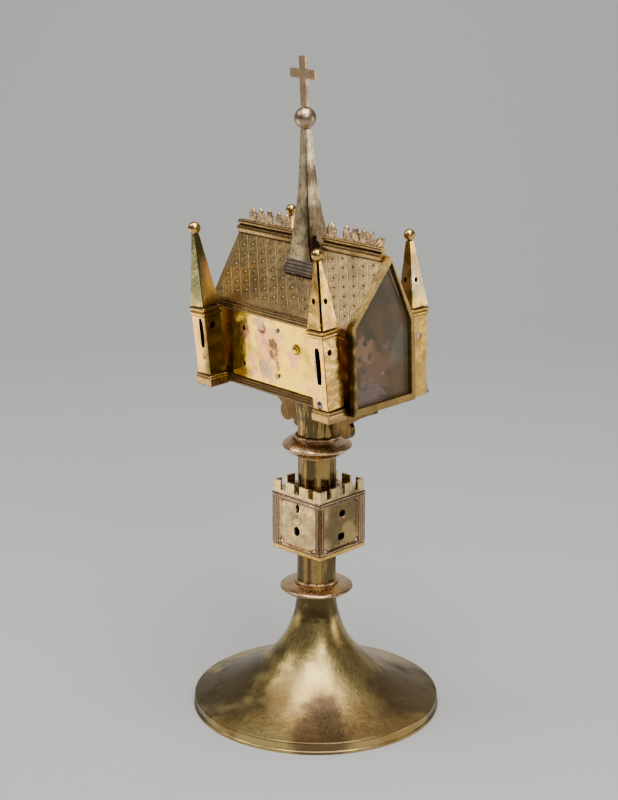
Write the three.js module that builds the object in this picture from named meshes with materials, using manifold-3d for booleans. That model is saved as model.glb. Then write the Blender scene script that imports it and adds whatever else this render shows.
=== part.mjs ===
// A small Gothic reliquary of gilded copper: a house-shaped casket with four corner turrets and a
// central spire, carried on a knopped stem over a round trumpet foot.
// Millimetres, +Z up. The origin is the centre of the foot's underside. The casket's long axis
// runs along X, its glazed gable faces +X and its better long wall faces -Y.
import * as THREE from "three";
import { mergeVertices } from "three/addons/utils/BufferGeometryUtils.js";
import Module from "manifold-3d";

const wasm = await Module();
wasm.setup();

// ---------------------------------------------------------------- driving dimensions

const GAP = 0.3; // clearance between pieces that meet inside the leaning casket
const deg = THREE.MathUtils.degToRad;

const FOOT = {
  radius: 60,
  rimHeight: 5.75,
  lip: 1.2,
  top: 57,
  sheet: 1.3,
  neck: 9.4, // radius that the flare tends to
  flareTop: 63.3, // height where the flare would reach the neck radius
  flarePower: 2.54,
  skirtShare: 0.24, // share of the flare that drops away close to the rim
};

const STEM = { sides: 10, turn: -42, wall: 1.1, bore: 7.4 };
const LOWER_STEM = { radius: 9.8, bottom: 65.2, top: 80.9 };
const UPPER_STEM = { radius: 9.55, bottom: 111, top: 127.4, collar: 10.7, collarHeight: 1.7 };
const TOP_STEM = { bottom: 138.2, radii: [9.6, 9.9, 10.8, 12.6], heights: [138.2, 146, 153, 162] };

const LOWER_RING = { bottom: 57, edge: 61.1, top: 65.2, radius: 17.7, collar: 9.7, crest: 10.1 };
const UPPER_RING = { bottom: 127.4, edge: 132.8, top: 138.2, radius: 16.8, collar: 9.8, crest: 10.3 };

const KNOP = {
  x: 0.65,
  y: 0.72,
  turn: 4.45,
  half: 15.8,
  bottom: 80.9,
  slabTop: 83.1,
  bodyTop: 107,
  courseTop: 109.6,
  floorTop: 111,
  merlonTop: 115.4,
  wall: 1.3,
  panel: 1.0, // how far the face panels lie back from the corner posts
  post: 1.9, // width of a corner post on each face
};
const KNOP_HOLES = [
  // face turn in degrees, height, half width, half height, slant
  { face: 0, z: 103.7, rx: 1.3, rz: 2.4, sides: 4, slant: 25 },
  { face: 0, z: 92, rx: 2.1, rz: 2.35, sides: 12, slant: 0 },
  { face: 90, z: 100.9, rx: 2.2, rz: 1.75, sides: 12, slant: 0 },
  { face: 90, z: 89.5, rx: 2.3, rz: 1.8, sides: 6, slant: 15 },
  { face: 180, z: 102, rx: 1.7, rz: 1.7, sides: 10, slant: 0 },
  { face: 180, z: 91, rx: 1.7, rz: 1.7, sides: 10, slant: 0 },
  { face: 270, z: 102, rx: 1.7, rz: 1.7, sides: 10, slant: 0 },
  { face: 270, z: 91, rx: 1.7, rz: 1.7, sides: 10, slant: 0 },
];

// The casket has settled forward on its stem: everything above leans with it.
const CASKET = {
  x: -0.55,
  y: -3.7,
  z: 160.77,
  leanX: 2.21,
  leanY: -0.3,
  floor: 0.9, // height of the floor's underside
  floorThick: 1.4,
  wallY: 19.1,
  wallThick: 1,
  west: -47.4,
  east: 46.9,
  wallTopFront: 38.6,
  wallTopBack: 37.2,
};

// Nail holes in the long walls: x, height, radius.
const WALL_HOLES = [[-35.9, 28.7, 0.9], [-24.8, 28.9, 1.1], [-25.4, 11.3, 1.1]];
const BACK_HOLES = [[-30, 10, 1], [30, 10, 1]];

const ROOF = {
  westRidgeY: 1,
  eastRidgeY: 4,
  ridge: 70.2,
  eaveY: 17.8,
  eaveFront: 40.9,
  eaveBack: 39.5,
  thick: 1,
  west: -48.3,
};

const CORNICE = { west: -47.4, east: 46.9, outerY: 20.5, low: 37.3 };
const PLINTH = { west: -35.28, east: 35.28, outerY: 20.5, low: 0.9, high: 4.6 };

const GABLE = {
  back: 47.2,
  lip: 48.25, // the pane lies in a rebate behind this lip
  front: 50.65,
  half: 19.15,
  bottom: 1.4,
  westShoulder: 42.9, // shoulder on the -Y side
  eastShoulder: 40, // shoulder on the +Y side, a little lower
  apexY: 5,
  apex: 70.8,
  bar: 2.1,
  sill: 3.3,
  paneThick: 0.75,
  rebate: 1.2, // width of the frame left round the pane
};

const RIDGE_BAR = { height: 4.6, foot: 2.1, roll: 1.35, west: [-48.3, -8], east: [9.6, 48] };
const LEAF = { width: 5.3, height: 6.6, thick: 1, strip: 0.7 };
const WEST_LEAVES = [-38.9, -33.5, -27.1, -21, -15.6];
const EAST_LEAVES = [14.2, 24.2, 29.6, 34.9, 39.2];
const BENT_LEAF = { x: 43.2, tilt: -52 };

const SPIRE = {
  x: 0.62,
  y: 2.5,
  leanX: 0.37,
  leanY: -0.34,
  heights: [56, 63, 70, 74, 78.5, 83, 88, 93, 102.5, 112, 122.6],
  halfY: [6.7, 6.5, 6.1, 5.7, 5.15, 4.5, 3.95, 3.4, 2.75, 2.2, 1.7],
  flare: 3.4, // extra half width along X at the foot of the spire
  sheet: 0.8,
  ballRadius: 5.1,
  ball: 127.6,
  crossTop: 155.4,
  crossSpan: 16.6,
  crossBar: 4.1,
  crossThick: 1.5,
  crossArm: 147.5, // height of the arms' middle
};
const FLANGE = { west: -8.2, east: 12, topFront: 9.9, topBack: 12, length: 7, thick: 1.1 };

const TURRET = {
  x: 41.24,
  y: 25.74,
  baseHalf: 5.66,
  baseTop: 4.4,
  ledge: 1.1,
  bodyHalf: 4.75,
  mouldingHalf: 5.2,
  sheet: 0.9,
  capTop: 73,
  capTopHalf: 1.25,
  ball: 75.8,
};
// Each turret stands a little out of true. lean and capLean are degrees towards (-X, -Y) along
// LEAN_AXIS; the cap leans by its own amount on top of the body.
const LEAN_AXIS = { x: 0.746, y: -0.667 };
const TURRETS = [
  { name: "west_front", sx: -1, sy: -1, top: 38.8, moulding: 4.6, lean: 3.6, cap: 1.6, ball: 3.05 },
  { name: "east_front", sx: 1, sy: -1, top: 42.7, moulding: 3.4, lean: 3.0, cap: -0.5, ball: 2.7 },
  { name: "east_back", sx: 1, sy: 1, top: 42.7, moulding: 3.6, lean: -1.5, cap: 3.3, ball: 2.65, baseless: true },
  { name: "west_back", sx: -1, sy: 1, top: 42.7, moulding: 3.6, lean: -0.9, cap: 0, ball: 2.65 },
];
// Openings of a turret body: the slit's width, height, drop below the moulding and shift off the
// middle; the round hole's radius, drop and shift.
const OPENINGS = {
  plain: { slit: [3, 16, 4, 0.3], hole: [1.5, 7, 0] },
  west_front: { slit: [2.9, 14.5, 0.6, 1.2], hole: [1.6, 4.2, -0.6] },
  east_front: { slit: [3.1, 17, 4.4, 0.6], hole: [1.5, 6.6, -1.3] },
  east_back: { slit: [3, 16, 4, 0.3], hole: [1.3, 9.6, -0.4] },
};
const CAP_HOLE = { radius: 1.2, share: 0.42 };

const BRACKET = { thick: 2.6, reach: 40, lobe: [20.5, 145], lobeRadius: 4.5, knot: [13.2, 141.6] };

// ---------------------------------------------------------------- materials

function metal(color, roughness = 0.35) {
  return new THREE.MeshStandardMaterial({ color, roughness, metalness: 1 });
}
const GILT = metal(0xc9a24a);
const PALE_GILT = metal(0xd8bd78);
const WORN = metal(0x9b7a52, 0.45);
const BRONZE = metal(0x8f7f45, 0.4);
const GREY = metal(0x756a66, 0.5);
const SILVER = metal(0xa9b0b5, 0.4);
const GLASS = new THREE.MeshStandardMaterial({
  color: 0x6f5d52,
  roughness: 0.1,
  metalness: 0,
  transparent: true,
  opacity: 0.35,
});

// ---------------------------------------------------------------- solids and geometry

function solid(geometry) {
  const bare = new THREE.BufferGeometry();
  bare.setAttribute("position", geometry.getAttribute("position"));
  if (geometry.index) bare.setIndex(geometry.index);
  const merged = mergeVertices(bare, 1e-4);
  return new wasm.Manifold(
    new wasm.Mesh({
      numProp: 3,
      vertProperties: merged.attributes.position.array,
      triVerts: new Uint32Array(merged.index.array),
    }),
  );
}

function geometryOf(made) {
  const mesh = made.getMesh();
  const geometry = new THREE.BufferGeometry();
  const positions = new THREE.BufferAttribute(new Float32Array(mesh.vertProperties), 3);
  geometry.setAttribute("position", positions);
  geometry.setIndex(new THREE.BufferAttribute(new Uint32Array(mesh.triVerts), 1));
  return geometry;
}

function box(x0, x1, y0, y1, z0, z1) {
  const geometry = new THREE.BoxGeometry(x1 - x0, y1 - y0, z1 - z0);
  return geometry.translate((x0 + x1) / 2, (y0 + y1) / 2, (z0 + z1) / 2);
}

// A body of revolution about Z. The profile is [radius, height] pairs, up the outside first.
function turned(profile, segments = 48) {
  const points = profile.map(([r, z]) => new THREE.Vector2(r, z));
  return new THREE.LatheGeometry(points, segments).rotateX(Math.PI / 2);
}

// A closed body through a row of sections, each a ring of points that runs anticlockwise seen
// from the last section.
function lofted(sections) {
  const count = sections[0].length;
  const positions = sections.flat().flatMap((p) => [p.x, p.y, p.z]);
  const index = [];
  for (let s = 0; s + 1 < sections.length; s++) {
    for (let i = 0; i < count; i++) {
      const a = s * count + i;
      const b = s * count + ((i + 1) % count);
      index.push(a, b, b + count, a, b + count, a + count);
    }
  }
  const cap = capTriangles(sections[0]);
  const last = (sections.length - 1) * count;
  for (const [a, b, c] of cap) {
    index.push(a, c, b, last + a, last + b, last + c);
  }
  const geometry = new THREE.BufferGeometry();
  geometry.setAttribute("position", new THREE.Float32BufferAttribute(positions, 3));
  geometry.setIndex(index);
  return geometry;
}

function capTriangles(ring) {
  const normal = new THREE.Vector3();
  for (let i = 0; i < ring.length; i++) {
    normal.add(new THREE.Vector3().crossVectors(ring[i], ring[(i + 1) % ring.length]));
  }
  normal.normalize();
  const turn = new THREE.Quaternion().setFromUnitVectors(normal, new THREE.Vector3(0, 0, 1));
  const flat = ring.map((p) => {
    const q = p.clone().applyQuaternion(turn);
    return new THREE.Vector2(q.x, q.y);
  });
  return THREE.ShapeUtils.triangulateShape(flat, []);
}

function polygon(sides, radius, z, turn = 0) {
  return Array.from({ length: sides }, (_, i) => {
    const angle = deg(turn) + (2 * Math.PI * i) / sides;
    return new THREE.Vector3(radius * Math.cos(angle), radius * Math.sin(angle), z);
  });
}

function rectangle(halfX, halfY, z) {
  return [
    new THREE.Vector3(halfX, -halfY, z),
    new THREE.Vector3(halfX, halfY, z),
    new THREE.Vector3(-halfX, halfY, z),
    new THREE.Vector3(-halfX, -halfY, z),
  ];
}

// A strip along X with a section of [y, z] pairs, anticlockwise seen from +X.
function strip(x0, x1, section) {
  const at = (x) => section.map(([y, z]) => new THREE.Vector3(x, y, z));
  return lofted([at(x0), at(x1)]);
}

// A plate in the XZ plane, thick from y0 to y1, from an outline shape drawn in (x, z).
function uprightPlate(shape, y0, y1, holes = []) {
  shape.holes.push(...holes);
  const geometry = new THREE.ExtrudeGeometry(shape, {
    depth: y1 - y0,
    bevelEnabled: false,
    curveSegments: 8,
  });
  return geometry.rotateX(Math.PI / 2).translate(0, y1, 0);
}

// A short bar with an elliptical or angular section that pierces a wall along Y.
function piercer(x, z, rx, rz, sides, slant, y0, y1) {
  const bar = new THREE.CylinderGeometry(1, 1, y1 - y0, sides);
  bar.scale(rx, 1, rz);
  bar.rotateY(deg(slant));
  return bar.translate(x, (y0 + y1) / 2, z);
}

function ball(radius, z) {
  return new THREE.SphereGeometry(radius, 12, 8).rotateX(Math.PI / 2).translate(0, 0, z);
}

function place(parent, name, geometry, material) {
  const mesh = new THREE.Mesh(geometry, material);
  mesh.name = name;
  parent.add(mesh);
  return mesh;
}

function leaning(parent, x, y, z, leanX, leanY) {
  const group = new THREE.Group();
  group.position.set(x, y, z);
  group.rotation.set(deg(leanX), deg(leanY), 0);
  parent.add(group);
  return group;
}

// ---------------------------------------------------------------- foot and stem

function footRadius(z) {
  const t = (FOOT.flareTop - z) / (FOOT.flareTop - FOOT.rimHeight);
  const curve = (1 - FOOT.skirtShare) * t ** FOOT.flarePower;
  const skirt = FOOT.skirtShare * t ** (3 * FOOT.flarePower);
  return FOOT.neck + (FOOT.radius - 0.7 - FOOT.neck) * (curve + skirt);
}

function foot() {
  const heights = [5.75, 8, 11, 15, 20, 27, 36, 46, FOOT.top];
  const outside = [
    [FOOT.radius - FOOT.sheet, 0],
    [FOOT.radius, 0],
    [FOOT.radius, FOOT.lip],
    [FOOT.radius - 0.7, FOOT.lip + 0.5],
    [FOOT.radius - 0.3, FOOT.rimHeight - 0.6],
    ...heights.map((z) => [footRadius(z), z]),
  ];
  const inside = heights
    .filter((z, i) => i % 2 === 0 && z < FOOT.top)
    .reverse()
    .map((z) => [footRadius(z) - FOOT.sheet * 1.05, z - FOOT.sheet * 0.9]);
  const profile = [...outside, [STEM.bore, FOOT.top], [STEM.bore, FOOT.top - 4], ...inside];
  profile.push([FOOT.radius - FOOT.sheet - 0.9, 3.4], profile[0]);
  return turned(profile, 48);
}

// A flattened ring: a bottom collar, a convex underside, a rounded edge, a convex shoulder and a
// rope-like crest round the stem.
function stemRing({ bottom, edge, top, radius, collar, crest }) {
  const reach = radius - collar;
  const profile = [
    [STEM.bore, bottom],
    [collar, bottom],
    [collar + 0.5, bottom + 0.6],
    [collar + 0.3, bottom + 1.3],
    [collar + reach * 0.45, bottom + 1.8],
    [collar + reach * 0.82, edge - 1.4],
    [radius - 0.15, edge - 0.5],
    [radius, edge + 0.1],
    [radius - 0.5, edge + 0.8],
    [collar + reach * 0.68, edge + (top - edge) * 0.42],
    [collar + reach * 0.3, edge + (top - edge) * 0.6],
    [crest, top - 1.7],
    [crest + 0.55, top - 1.1],
    [crest + 0.4, top - 0.4],
    [crest - 0.5, top],
    [STEM.bore, top],
    [STEM.bore, bottom],
  ];
  return turned(profile, 32);
}

function tube(radius, bottom, top) {
  const outer = lofted([
    polygon(STEM.sides, radius, bottom, STEM.turn),
    polygon(STEM.sides, radius, top, STEM.turn),
  ]);
  const inner = lofted([
    polygon(STEM.sides, radius - STEM.wall, bottom - 1, STEM.turn),
    polygon(STEM.sides, radius - STEM.wall, top + 1, STEM.turn),
  ]);
  return solid(outer).subtract(solid(inner));
}

function upperStem() {
  const { radius, bottom, top, collar, collarHeight } = UPPER_STEM;
  const ring = turned([
    [STEM.bore + 0.6, bottom],
    [collar, bottom],
    [collar + 0.4, bottom + 0.7],
    [collar, bottom + 1.3],
    [radius - 0.4, bottom + collarHeight],
    [STEM.bore + 0.6, bottom + collarHeight],
    [STEM.bore + 0.6, bottom],
  ]);
  const shaft = tube(radius, bottom, top);
  const bore = lofted([
    polygon(STEM.sides, radius - STEM.wall, bottom - 1, STEM.turn),
    polygon(STEM.sides, radius - STEM.wall, top + 1, STEM.turn),
  ]);
  return geometryOf(shaft.add(solid(ring)).subtract(solid(bore)));
}

// Everything above the casket floor's underside, less the clearance, in the part's own frame.
function aboveFloor() {
  const slab = box(-80, 80, -60, 60, CASKET.floor - GAP, 60);
  const turn = new THREE.Euler(deg(CASKET.leanX), deg(CASKET.leanY), 0);
  const matrix = new THREE.Matrix4().makeRotationFromEuler(turn);
  matrix.setPosition(CASKET.x, CASKET.y, CASKET.z);
  return solid(slab.applyMatrix4(matrix));
}

function topStem() {
  const ring = (grow) =>
    TOP_STEM.radii.map((r, i) => polygon(STEM.sides, r + grow, TOP_STEM.heights[i], STEM.turn));
  const outer = solid(lofted(ring(0)));
  const inner = ring(-STEM.wall);
  inner[0].forEach((p) => (p.z -= 1));
  return geometryOf(outer.subtract(solid(lofted(inner))).subtract(aboveFloor()));
}

// A bracket under one half of the casket: a flat plate with a round lobe, a small knot against
// the stem, and an arm that runs out beneath the floor.
function bracket(side) {
  const [lobeX, lobeZ] = BRACKET.lobe;
  const [knotX, knotZ] = BRACKET.knot;
  const outline = new THREE.Shape();
  outline.moveTo(TOP_STEM.radii[3] + 0.6, 165);
  outline.lineTo(TOP_STEM.radii[2] + 0.6, 154);
  outline.lineTo(TOP_STEM.radii[1] + 0.7, 146);
  outline.lineTo(TOP_STEM.radii[1] + 0.5, knotZ + 1);
  outline.absarc(knotX, knotZ, 2.4, Math.PI * 0.9, Math.PI * 2.05, false);
  outline.absarc(lobeX, lobeZ, BRACKET.lobeRadius, Math.PI * 1.2, Math.PI * 2.25, false);
  outline.quadraticCurveTo(29, 152.5, BRACKET.reach, 156.8);
  outline.lineTo(BRACKET.reach, 165);
  const plate = uprightPlate(outline, -BRACKET.thick / 2, BRACKET.thick / 2);
  if (side < 0) plate.rotateZ(Math.PI);
  return geometryOf(solid(plate).subtract(aboveFloor()));
}

// ---------------------------------------------------------------- knop

function squareTube(outerHalf, innerHalf, z0, z1) {
  const outer = solid(lofted([rectangle(outerHalf, outerHalf, z0), rectangle(outerHalf, outerHalf, z1)]));
  const inner = lofted([
    rectangle(innerHalf, innerHalf, z0 - 1),
    rectangle(innerHalf, innerHalf, z1 + 1),
  ]);
  return outer.subtract(solid(inner));
}

function boredSlab(sections) {
  const bore = turned([
    [0, KNOP.bottom - 5],
    [STEM.bore, KNOP.bottom - 5],
    [STEM.bore, KNOP.merlonTop + 5],
    [0, KNOP.merlonTop + 5],
  ]);
  return solid(lofted(sections)).subtract(solid(bore));
}

function knopSlab() {
  const low = rectangle(KNOP.half - 0.7, KNOP.half - 0.7, KNOP.bottom);
  const edge = rectangle(KNOP.half, KNOP.half, KNOP.bottom + 0.7);
  const high = rectangle(KNOP.half - 0.1, KNOP.half - 0.1, KNOP.slabTop);
  return geometryOf(boredSlab([low, edge, high]));
}

// One reed of a corner post, a thin upright half round.
function reed(x, y, radius, z0, z1) {
  return solid(
    lofted([polygon(6, radius, z0, 30), polygon(6, radius, z1, 30)]).translate(x, y, 0),
  );
}

function knopBody() {
  const face = KNOP.half - 0.4 - KNOP.panel;
  let body = squareTube(face, face - KNOP.wall, KNOP.slabTop, KNOP.bodyTop);
  const corner = KNOP.half - 0.5;
  for (const [sx, sy] of [[1, 1], [-1, 1], [-1, -1], [1, -1]]) {
    const inner = corner - KNOP.post;
    const post = box(inner, corner - 0.2, inner, corner - 0.2, KNOP.slabTop, KNOP.bodyTop);
    body = body.add(solid(post.translate(0, 0, 0)).scale([sx, sy, 1]));
    for (const [x, y] of [[corner - 0.3, corner - 0.3], [corner - 0.3, inner], [inner, corner - 0.3]]) {
      body = body.add(reed(sx * x, sy * y, 0.55, KNOP.slabTop, KNOP.bodyTop));
    }
  }
  body = body.add(squareTube(face + 0.6, face - 0.4, KNOP.slabTop, KNOP.slabTop + 1.1));
  const courseHeight = (KNOP.courseTop - KNOP.bodyTop) / 2;
  for (const [step, half] of [[0, KNOP.half - 0.25], [1, KNOP.half + 0.05]]) {
    const z0 = KNOP.bodyTop + step * courseHeight;
    const sections = [half - 0.35, half, half - 0.3].map((h, i) =>
      rectangle(h, h, z0 + (i * courseHeight) / 2),
    );
    const roll = solid(lofted(sections));
    const hollow = face - KNOP.wall;
    const inner = lofted([rectangle(hollow, hollow, z0 - 1), rectangle(hollow, hollow, z0 + 3)]);
    body = body.add(roll.subtract(solid(inner)));
  }
  for (const { face: turn, z, rx, rz, sides, slant } of KNOP_HOLES) {
    const bar = piercer(0, z, rx, rz, sides, slant, -KNOP.half - 2, -face + KNOP.wall + 2);
    body = body.subtract(solid(bar.rotateZ(deg(turn))));
  }
  return geometryOf(body);
}

// The battlement: a floor plate round the stem inside a thin parapet, with a merlon that wraps
// each corner and two between.
function knopBattlement() {
  const outer = KNOP.half - 0.5;
  const inner = outer - 1.2;
  const plate = boredSlab([
    rectangle(outer, outer, KNOP.courseTop),
    rectangle(outer, outer, KNOP.floorTop),
  ]);
  let wall = squareTube(outer, inner, KNOP.courseTop, KNOP.merlonTop);
  const width = 2 * outer;
  const crenel = width * 0.115;
  for (const centre of [-0.295, 0, 0.295]) {
    const x = centre * width;
    for (const turn of [0, 90]) {
      const cut = box(x - crenel / 2, x + crenel / 2, -outer - 2, outer + 2, KNOP.floorTop, KNOP.merlonTop + 2);
      wall = wall.subtract(solid(cut.rotateZ(deg(turn))));
    }
  }
  return geometryOf(plate.add(wall));
}

// ---------------------------------------------------------------- casket

function floorPlate() {
  const { floor, floorThick, west, east, wallY } = CASKET;
  return box(west, east, -wallY, wallY, floor, floor + floorThick);
}

function longWall(side) {
  const { floor, floorThick, west, east, wallY, wallThick } = CASKET;
  const y = side * (wallY - wallThick / 2);
  const bottom = floor + floorThick + GAP;
  const top = side < 0 ? CASKET.wallTopFront : CASKET.wallTopBack;
  let wall = solid(box(west, east, y - wallThick / 2, y + wallThick / 2, bottom, top));
  const holes = side < 0 ? WALL_HOLES : BACK_HOLES;
  for (const [x, z, r] of holes) {
    wall = wall.subtract(solid(piercer(x, z, r, r, 8, 0, y - 2, y + 2)));
  }
  return geometryOf(wall);
}

// The plinth moulding along the foot of a long wall, with three reeds.
function plinth(side) {
  const wall = CASKET.wallY + GAP;
  const { outerY, low, high } = PLINTH;
  const section = [
    [wall, low],
    [outerY, low],
    [outerY, low + 1.5],
    [outerY - 0.35, low + 1.75],
    [outerY - 0.3, low + 2.5],
    [outerY - 0.75, low + 2.7],
    [outerY - 0.5, high - 0.5],
    [wall, high],
  ];
  return sided(section, side, PLINTH);
}

// The cornice that slopes from the roof's edge out over the head of a long wall: two rolls and
// the hollow between them.
function cornice(side) {
  const lift = side < 0 ? 0 : ROOF.eaveBack - ROOF.eaveFront;
  const { outerY, low } = CORNICE;
  const wall = CASKET.wallY + GAP;
  const eave = ROOF.eaveFront;
  const section = [
    [wall, low - 0.2],
    [outerY - 0.3, low - 0.3],
    [outerY, low + 0.3],
    [outerY - 0.1, low + 1.1],
    [outerY - 0.7, low + 1.5],
    [outerY - 0.9, eave - 1.3],
    [outerY - 1.0, eave - 0.5],
    [outerY - 1.7, eave + 0.1],
    [ROOF.eaveY + 0.35, eave - 0.2],
    [ROOF.eaveY + 0.35, CASKET.wallTopFront + 0.35],
    [wall, CASKET.wallTopFront + 0.35],
  ];
  return sided(section.map(([y, z]) => [y, z + lift]), side, CORNICE);
}

// Lays a section drawn for the +Y side along either long side.
function sided(section, side, { west, east }) {
  const placed = side > 0 ? section : section.map(([y, z]) => [-y, z]).reverse();
  return strip(west, east, placed);
}

function ridgeY(x) {
  const t = (x - ROOF.west) / (CASKET.east - ROOF.west);
  return ROOF.westRidgeY + t * (ROOF.eastRidgeY - ROOF.westRidgeY);
}

// The roof's section at x, thick inwards, or its upper line lifted by grow.
function roofSection(x, thick) {
  const y = ridgeY(x);
  const { ridge, eaveY, eaveFront, eaveBack } = ROOF;
  const points = [
    [-eaveY, eaveFront],
    [y, ridge],
    [eaveY, eaveBack],
    [eaveY - 0.2, eaveBack - thick * 1.2],
    [eaveY - 1.2, eaveBack - thick * 1.2],
    [y, ridge - thick * 2],
    [-eaveY + 1.2, eaveFront - thick * 1.2],
    [-eaveY + 0.2, eaveFront - thick * 1.2],
  ];
  return points.reverse().map(([py, pz]) => new THREE.Vector3(x, py, pz));
}

function roof() {
  return lofted([roofSection(ROOF.west, ROOF.thick), roofSection(CASKET.east, ROOF.thick)]);
}

// The solid space under the roof's upper surface, lifted by the clearance.
function underRoof() {
  const at = (x) => {
    const y = ridgeY(x);
    const { ridge, eaveY, eaveFront, eaveBack } = ROOF;
    const points = [
      [-eaveY, eaveFront + 2 * GAP],
      [-eaveY, 20],
      [eaveY, 20],
      [eaveY, eaveBack + 2 * GAP],
      [y, ridge + 2 * GAP],
    ];
    return points.map(([py, pz]) => new THREE.Vector3(x, py, pz));
  };
  return solid(lofted([at(ROOF.west - 5), at(CASKET.east + 5)]));
}

// The gable's five-sided outline drawn inwards by inset, as a shape in (y, z).
function gableOutline(inset, sill = inset) {
  const { half, bottom, westShoulder, eastShoulder, apexY, apex } = GABLE;
  const westRake = new THREE.Vector2(apexY + half, apex - westShoulder);
  const eastRake = new THREE.Vector2(half - apexY, apex - eastShoulder);
  const down = (rake) => (inset * rake.length()) / rake.x;
  const slope = (rake) => rake.y / rake.x;
  const westDrop = down(westRake);
  const eastDrop = down(eastRake);
  const west = -half + inset;
  const east = half - inset;
  const westZ = westShoulder + slope(westRake) * inset - westDrop;
  const eastZ = eastShoulder + slope(eastRake) * inset - eastDrop;
  const peakY = apexY + (eastDrop - westDrop) / (slope(westRake) + slope(eastRake));
  const peakZ = apex - westDrop + slope(westRake) * (peakY - apexY);
  return [
    new THREE.Vector2(west, bottom + sill),
    new THREE.Vector2(east, bottom + sill),
    new THREE.Vector2(east, eastZ),
    new THREE.Vector2(peakY, peakZ),
    new THREE.Vector2(west, westZ),
  ];
}

function gableSlab(points, x0, x1) {
  const at = (x) => points.map((p) => new THREE.Vector3(x, p.x, p.y));
  return lofted([at(x0), at(x1)]);
}

function gableFrame() {
  const { back, lip, front, bar, sill, rebate } = GABLE;
  const outer = solid(gableSlab(gableOutline(0), back, front));
  const opening = solid(gableSlab(gableOutline(bar, sill), back - 1, front + 1));
  const pocket = solid(gableSlab(gableOutline(rebate, sill - 1.2), back - 1, lip));
  return geometryOf(outer.subtract(opening).subtract(pocket));
}

function gablePane() {
  const { back, paneThick, rebate, sill } = GABLE;
  return gableSlab(gableOutline(rebate + GAP, sill - 1.2 + GAP), back, back + paneThick);
}

// The far gable is a plain sheet that stands inside the walls and under the roof.
function westGable() {
  const { west, floor, floorThick, wallY, wallThick, wallTopFront, wallTopBack } = CASKET;
  const inner = wallY - wallThick - GAP;
  const bottom = floor + floorThick + GAP;
  const { ridge, eaveY, eaveFront, eaveBack, thick } = ROOF;
  const underEave = thick * 1.2 + 0.5;
  const outline = [
    new THREE.Vector2(-inner, bottom),
    new THREE.Vector2(inner, bottom),
    new THREE.Vector2(inner, wallTopBack - 1),
    new THREE.Vector2(eaveY - 1.6, eaveBack - underEave),
    new THREE.Vector2(ridgeY(west), ridge - thick * 2 - 0.6),
    new THREE.Vector2(1.6 - eaveY, eaveFront - underEave),
    new THREE.Vector2(-inner, wallTopFront - 1),
  ];
  return gableSlab(outline, west + 0.4, west + 1.4);
}

// ---------------------------------------------------------------- ridge and cresting

function ridgeBar([x0, x1]) {
  const { height, foot: half, roll } = RIDGE_BAR;
  const base = ROOF.ridge + GAP;
  const section = [
    [half, base - 1.7],
    [half + 0.15, base + 0.6],
    [half - 0.5, base + 1.5],
    [0.75, base + 1.75],
    [roll, base + 2.5],
    [roll, base + height - 1.2],
    [roll - 0.75, base + height - 0.35],
    [-roll + 0.75, base + height - 0.35],
    [-roll, base + height - 1.2],
    [-roll, base + 2.5],
    [-0.75, base + 1.75],
    [-half + 0.5, base + 1.5],
    [-half - 0.15, base + 0.6],
    [-half, base - 1.7],
  ];
  const at = (x) => section.map(([y, z]) => new THREE.Vector3(x, y + ridgeY(x), z));
  const overGable = box(CASKET.east, 60, -15, 25, 60, GABLE.apex + GAP);
  const bar = solid(lofted([at(x0), at(x1)]));
  return geometryOf(bar.subtract(underRoof()).subtract(solid(overGable)));
}

// A pointed leaf with a waist and two side lobes, drawn upright about x = 0 from z = 0.
function leafShape(width) {
  const w = width / 2;
  const h = LEAF.height;
  const leaf = new THREE.Shape();
  leaf.moveTo(-w * 0.45, 0);
  leaf.lineTo(w * 0.45, 0);
  leaf.quadraticCurveTo(w * 0.9, h * 0.1, w * 0.95, h * 0.36);
  leaf.quadraticCurveTo(w * 0.95, h * 0.55, w * 0.68, h * 0.64);
  leaf.quadraticCurveTo(w * 0.55, h * 0.85, 0, h);
  leaf.quadraticCurveTo(-w * 0.55, h * 0.85, -w * 0.68, h * 0.64);
  leaf.quadraticCurveTo(-w * 0.95, h * 0.55, -w * 0.95, h * 0.36);
  leaf.quadraticCurveTo(-w * 0.9, h * 0.1, -w * 0.45, 0);
  return leaf;
}

function leaf(x, z, width, tilt = 0) {
  const geometry = new THREE.ExtrudeGeometry(leafShape(width), {
    depth: LEAF.thick,
    bevelEnabled: false,
    curveSegments: 2,
  });
  geometry.rotateX(Math.PI / 2).translate(0, LEAF.thick / 2, 0);
  geometry.rotateY(deg(-tilt));
  return solid(geometry.translate(x, ridgeY(x), z - 0.3));
}

function cresting([x0, x1], places, bent) {
  const base = ROOF.ridge + 2 * GAP + RIDGE_BAR.height - 0.35;
  const half = LEAF.thick / 2;
  const rail = [x0, x1].map((x) =>
    [
      [half, 0],
      [half, LEAF.strip],
      [-half, LEAF.strip],
      [-half, 0],
    ].map(([y, z]) => new THREE.Vector3(x, y + ridgeY(x), base + z)),
  );
  let row = solid(lofted(rail));
  places.forEach((x) => {
    const width = x > 0 && x < 15 ? LEAF.width * 1.25 : LEAF.width;
    row = row.add(leaf(x, base + LEAF.strip, width));
  });
  if (bent) row = row.add(leaf(bent.x, base + LEAF.strip, LEAF.width, -bent.tilt));
  return geometryOf(row.subtract(solid(box(x0 - 9, x1 + 9, -9, 15, base - 9, base))));
}

// ---------------------------------------------------------------- spire

function spireSections(shrink) {
  const foot = SPIRE.heights[0];
  return SPIRE.heights.map((z, i) => {
    const half = Math.max(SPIRE.halfY[i] - shrink, 0.35);
    const spread = SPIRE.flare * Math.max(0, 1 - (z - foot) / 16) ** 1.6;
    return rectangle(half + spread, half, z);
  });
}

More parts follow.
